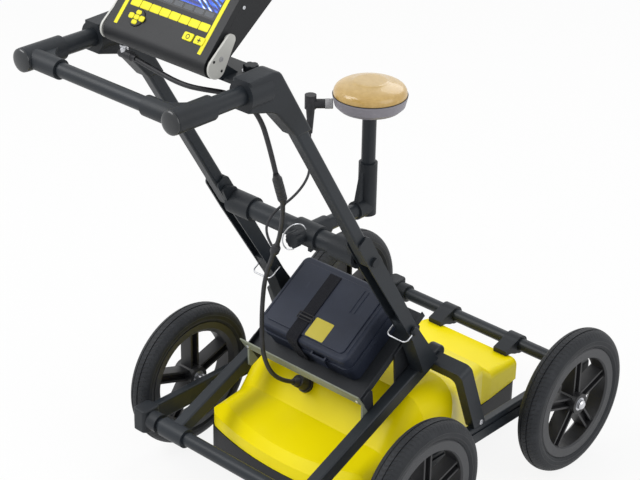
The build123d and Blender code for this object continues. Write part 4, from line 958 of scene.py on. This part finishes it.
def strapPiece():
    s = strap
    rows = 120
    clearPick()
    bpy.ops.mesh.primitive_grid_add(x_subdivisions=6, y_subdivisions=rows, size=1)
    obj = bpy.context.object
    obj.name = "caseStrap"
    path = [Vector(p) for p in s["path"]]
    reach = [0.0]
    for a, b in zip(path, path[1:]):
        reach.append(reach[-1] + (b - a).length)
    total = reach[-1]

    def walk(t):
        d = t * total
        i = max(k for k in range(len(path) - 1) if reach[k] <= d + 1e-9)
        share = (d - reach[i]) / (reach[i + 1] - reach[i])
        return path[i].lerp(path[i + 1], share)

    mesh = obj.data
    sheetMap = mesh.uv_layers.new(name="strap")
    stations = {}
    for vert in mesh.vertices:
        t = vert.co.y + 0.5
        stations[vert.index] = (t, vert.co.x + 0.5)
    for loop in mesh.loops:
        t, across = stations[loop.vertex_index]
        sheetMap.data[loop.index].uv = (t * total / 1000, across * s["width"] / 1000)
    turn = onTray(0, 0, 0)
    for vert in mesh.vertices:
        t, across = stations[vert.index]
        v, w = walk(t)
        edge = abs(across - 0.5) * 2
        lift = 0.25 * sin(t * 23) * (1 - edge)
        vert.co = turn @ (Vector((s["x"] + (across - 0.5) * s["width"], v, w + lift)) * 0.001)
    clearPick()
    obj.select_set(True)
    bpy.context.view_layer.objects.active = obj
    bpy.ops.object.mode_set(mode="EDIT")
    bpy.ops.mesh.select_all(action="SELECT")
    bpy.ops.mesh.normals_make_consistent(inside=False)
    bpy.ops.object.mode_set(mode="OBJECT")
    bpy.ops.object.modifier_add(type="SOLIDIFY")
    obj.modifiers[-1].thickness = s["thick"] / 1000
    obj.modifiers[-1].offset = 0
    bpy.ops.object.modifier_apply(modifier=obj.modifiers[-1].name)
    dress(obj, finishes["webbing"], "case_lid")
    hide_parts("case_strap")
    return obj


strapPiece()
print("strap laid")


# Stage: pale floor, soft lamps, white surroundings
stage = {"floorGlow": 0.88, "lightShed": 0.66, "lightSeen": 1.0}


def setStage():
    clearPick()
    bpy.ops.mesh.primitive_plane_add(size=40)
    floor = bpy.context.object
    floor.name = "floor"
    floor.location.z = -0.0005
    paint = Paint("floorPale")
    camera = paint.node("ShaderNodeLightPath", {}, {})
    rays = camera.socket.node.outputs
    glossy, through = (Wire(paint, rays[k]) for k in ("Is Glossy Ray", "Is Transmission Ray"))
    seen = camera.sum("MAXIMUM", camera, glossy.sum("MAXIMUM", glossy, through))
    grain = paint.noise(3, 2)
    pale = paint.mix(grain, (0.80, 0.80, 0.80), (0.82, 0.82, 0.82))
    paint.finish(Base_Color=pale, Roughness=0.9, Specular_IOR_Level=0.1)
    glow = paint.tree.nodes.new("ShaderNodeEmission")
    blend = paint.tree.nodes.new("ShaderNodeMixShader")
    out = next(n for n in paint.tree.nodes if n.type == "OUTPUT_MATERIAL")
    paint.feed(blend.inputs[0], seen * stage["floorGlow"])
    paint.tree.links.new(paint.shader.outputs[0], blend.inputs[1])
    paint.tree.links.new(glow.outputs[0], blend.inputs[2])
    paint.tree.links.new(blend.outputs[0], out.inputs[0])
    floor.data.materials.append(paint.material)

    world = bpy.data.worlds.new("studio")
    scene.world = world
    world.use_nodes = True
    tree = world.node_tree
    back = next(n for n in tree.nodes if n.type == "BACKGROUND")
    path = tree.nodes.new("ShaderNodeLightPath")
    either = tree.nodes.new("ShaderNodeMath")
    either.operation = "MAXIMUM"
    tree.links.new(path.outputs["Is Camera Ray"], either.inputs[0])
    also = tree.nodes.new("ShaderNodeMath")
    also.operation = "MAXIMUM"
    tree.links.new(path.outputs["Is Glossy Ray"], also.inputs[0])
    tree.links.new(path.outputs["Is Transmission Ray"], also.inputs[1])
    tree.links.new(also.outputs[0], either.inputs[1])
    level = tree.nodes.new("ShaderNodeMapRange")
    level.inputs["To Min"].default_value = stage["lightShed"]
    level.inputs["To Max"].default_value = stage["lightSeen"]
    tree.links.new(either.outputs[0], level.inputs["Value"])
    tree.links.new(level.outputs[0], back.inputs["Strength"])
    back.inputs["Color"].default_value = (1, 1, 1, 1)


lamps = {
    "key": {"place": (-1.6, -2.2, 3.4), "size": 2.6, "power": 90},
    "fill": {"place": (2.8, 0.4, 2.2), "size": 2.4, "power": 26},
    "rim": {"place": (-0.6, 2.6, 2.6), "size": 2.0, "power": 20},
}


def setLamps():
    for name, facts in lamps.items():
        data = bpy.data.lights.new(name, "AREA")
        data.shape = "DISK"
        data.size = facts["size"]
        data.energy = facts["power"]
        lamp = bpy.data.objects.new(name, data)
        scene.collection.objects.link(lamp)
        way = Vector((0, 0, 0.5)) - Vector(facts["place"])
        lamp.matrix_world = aim(facts["place"], -way)


setStage()
setLamps()
print("stage set")
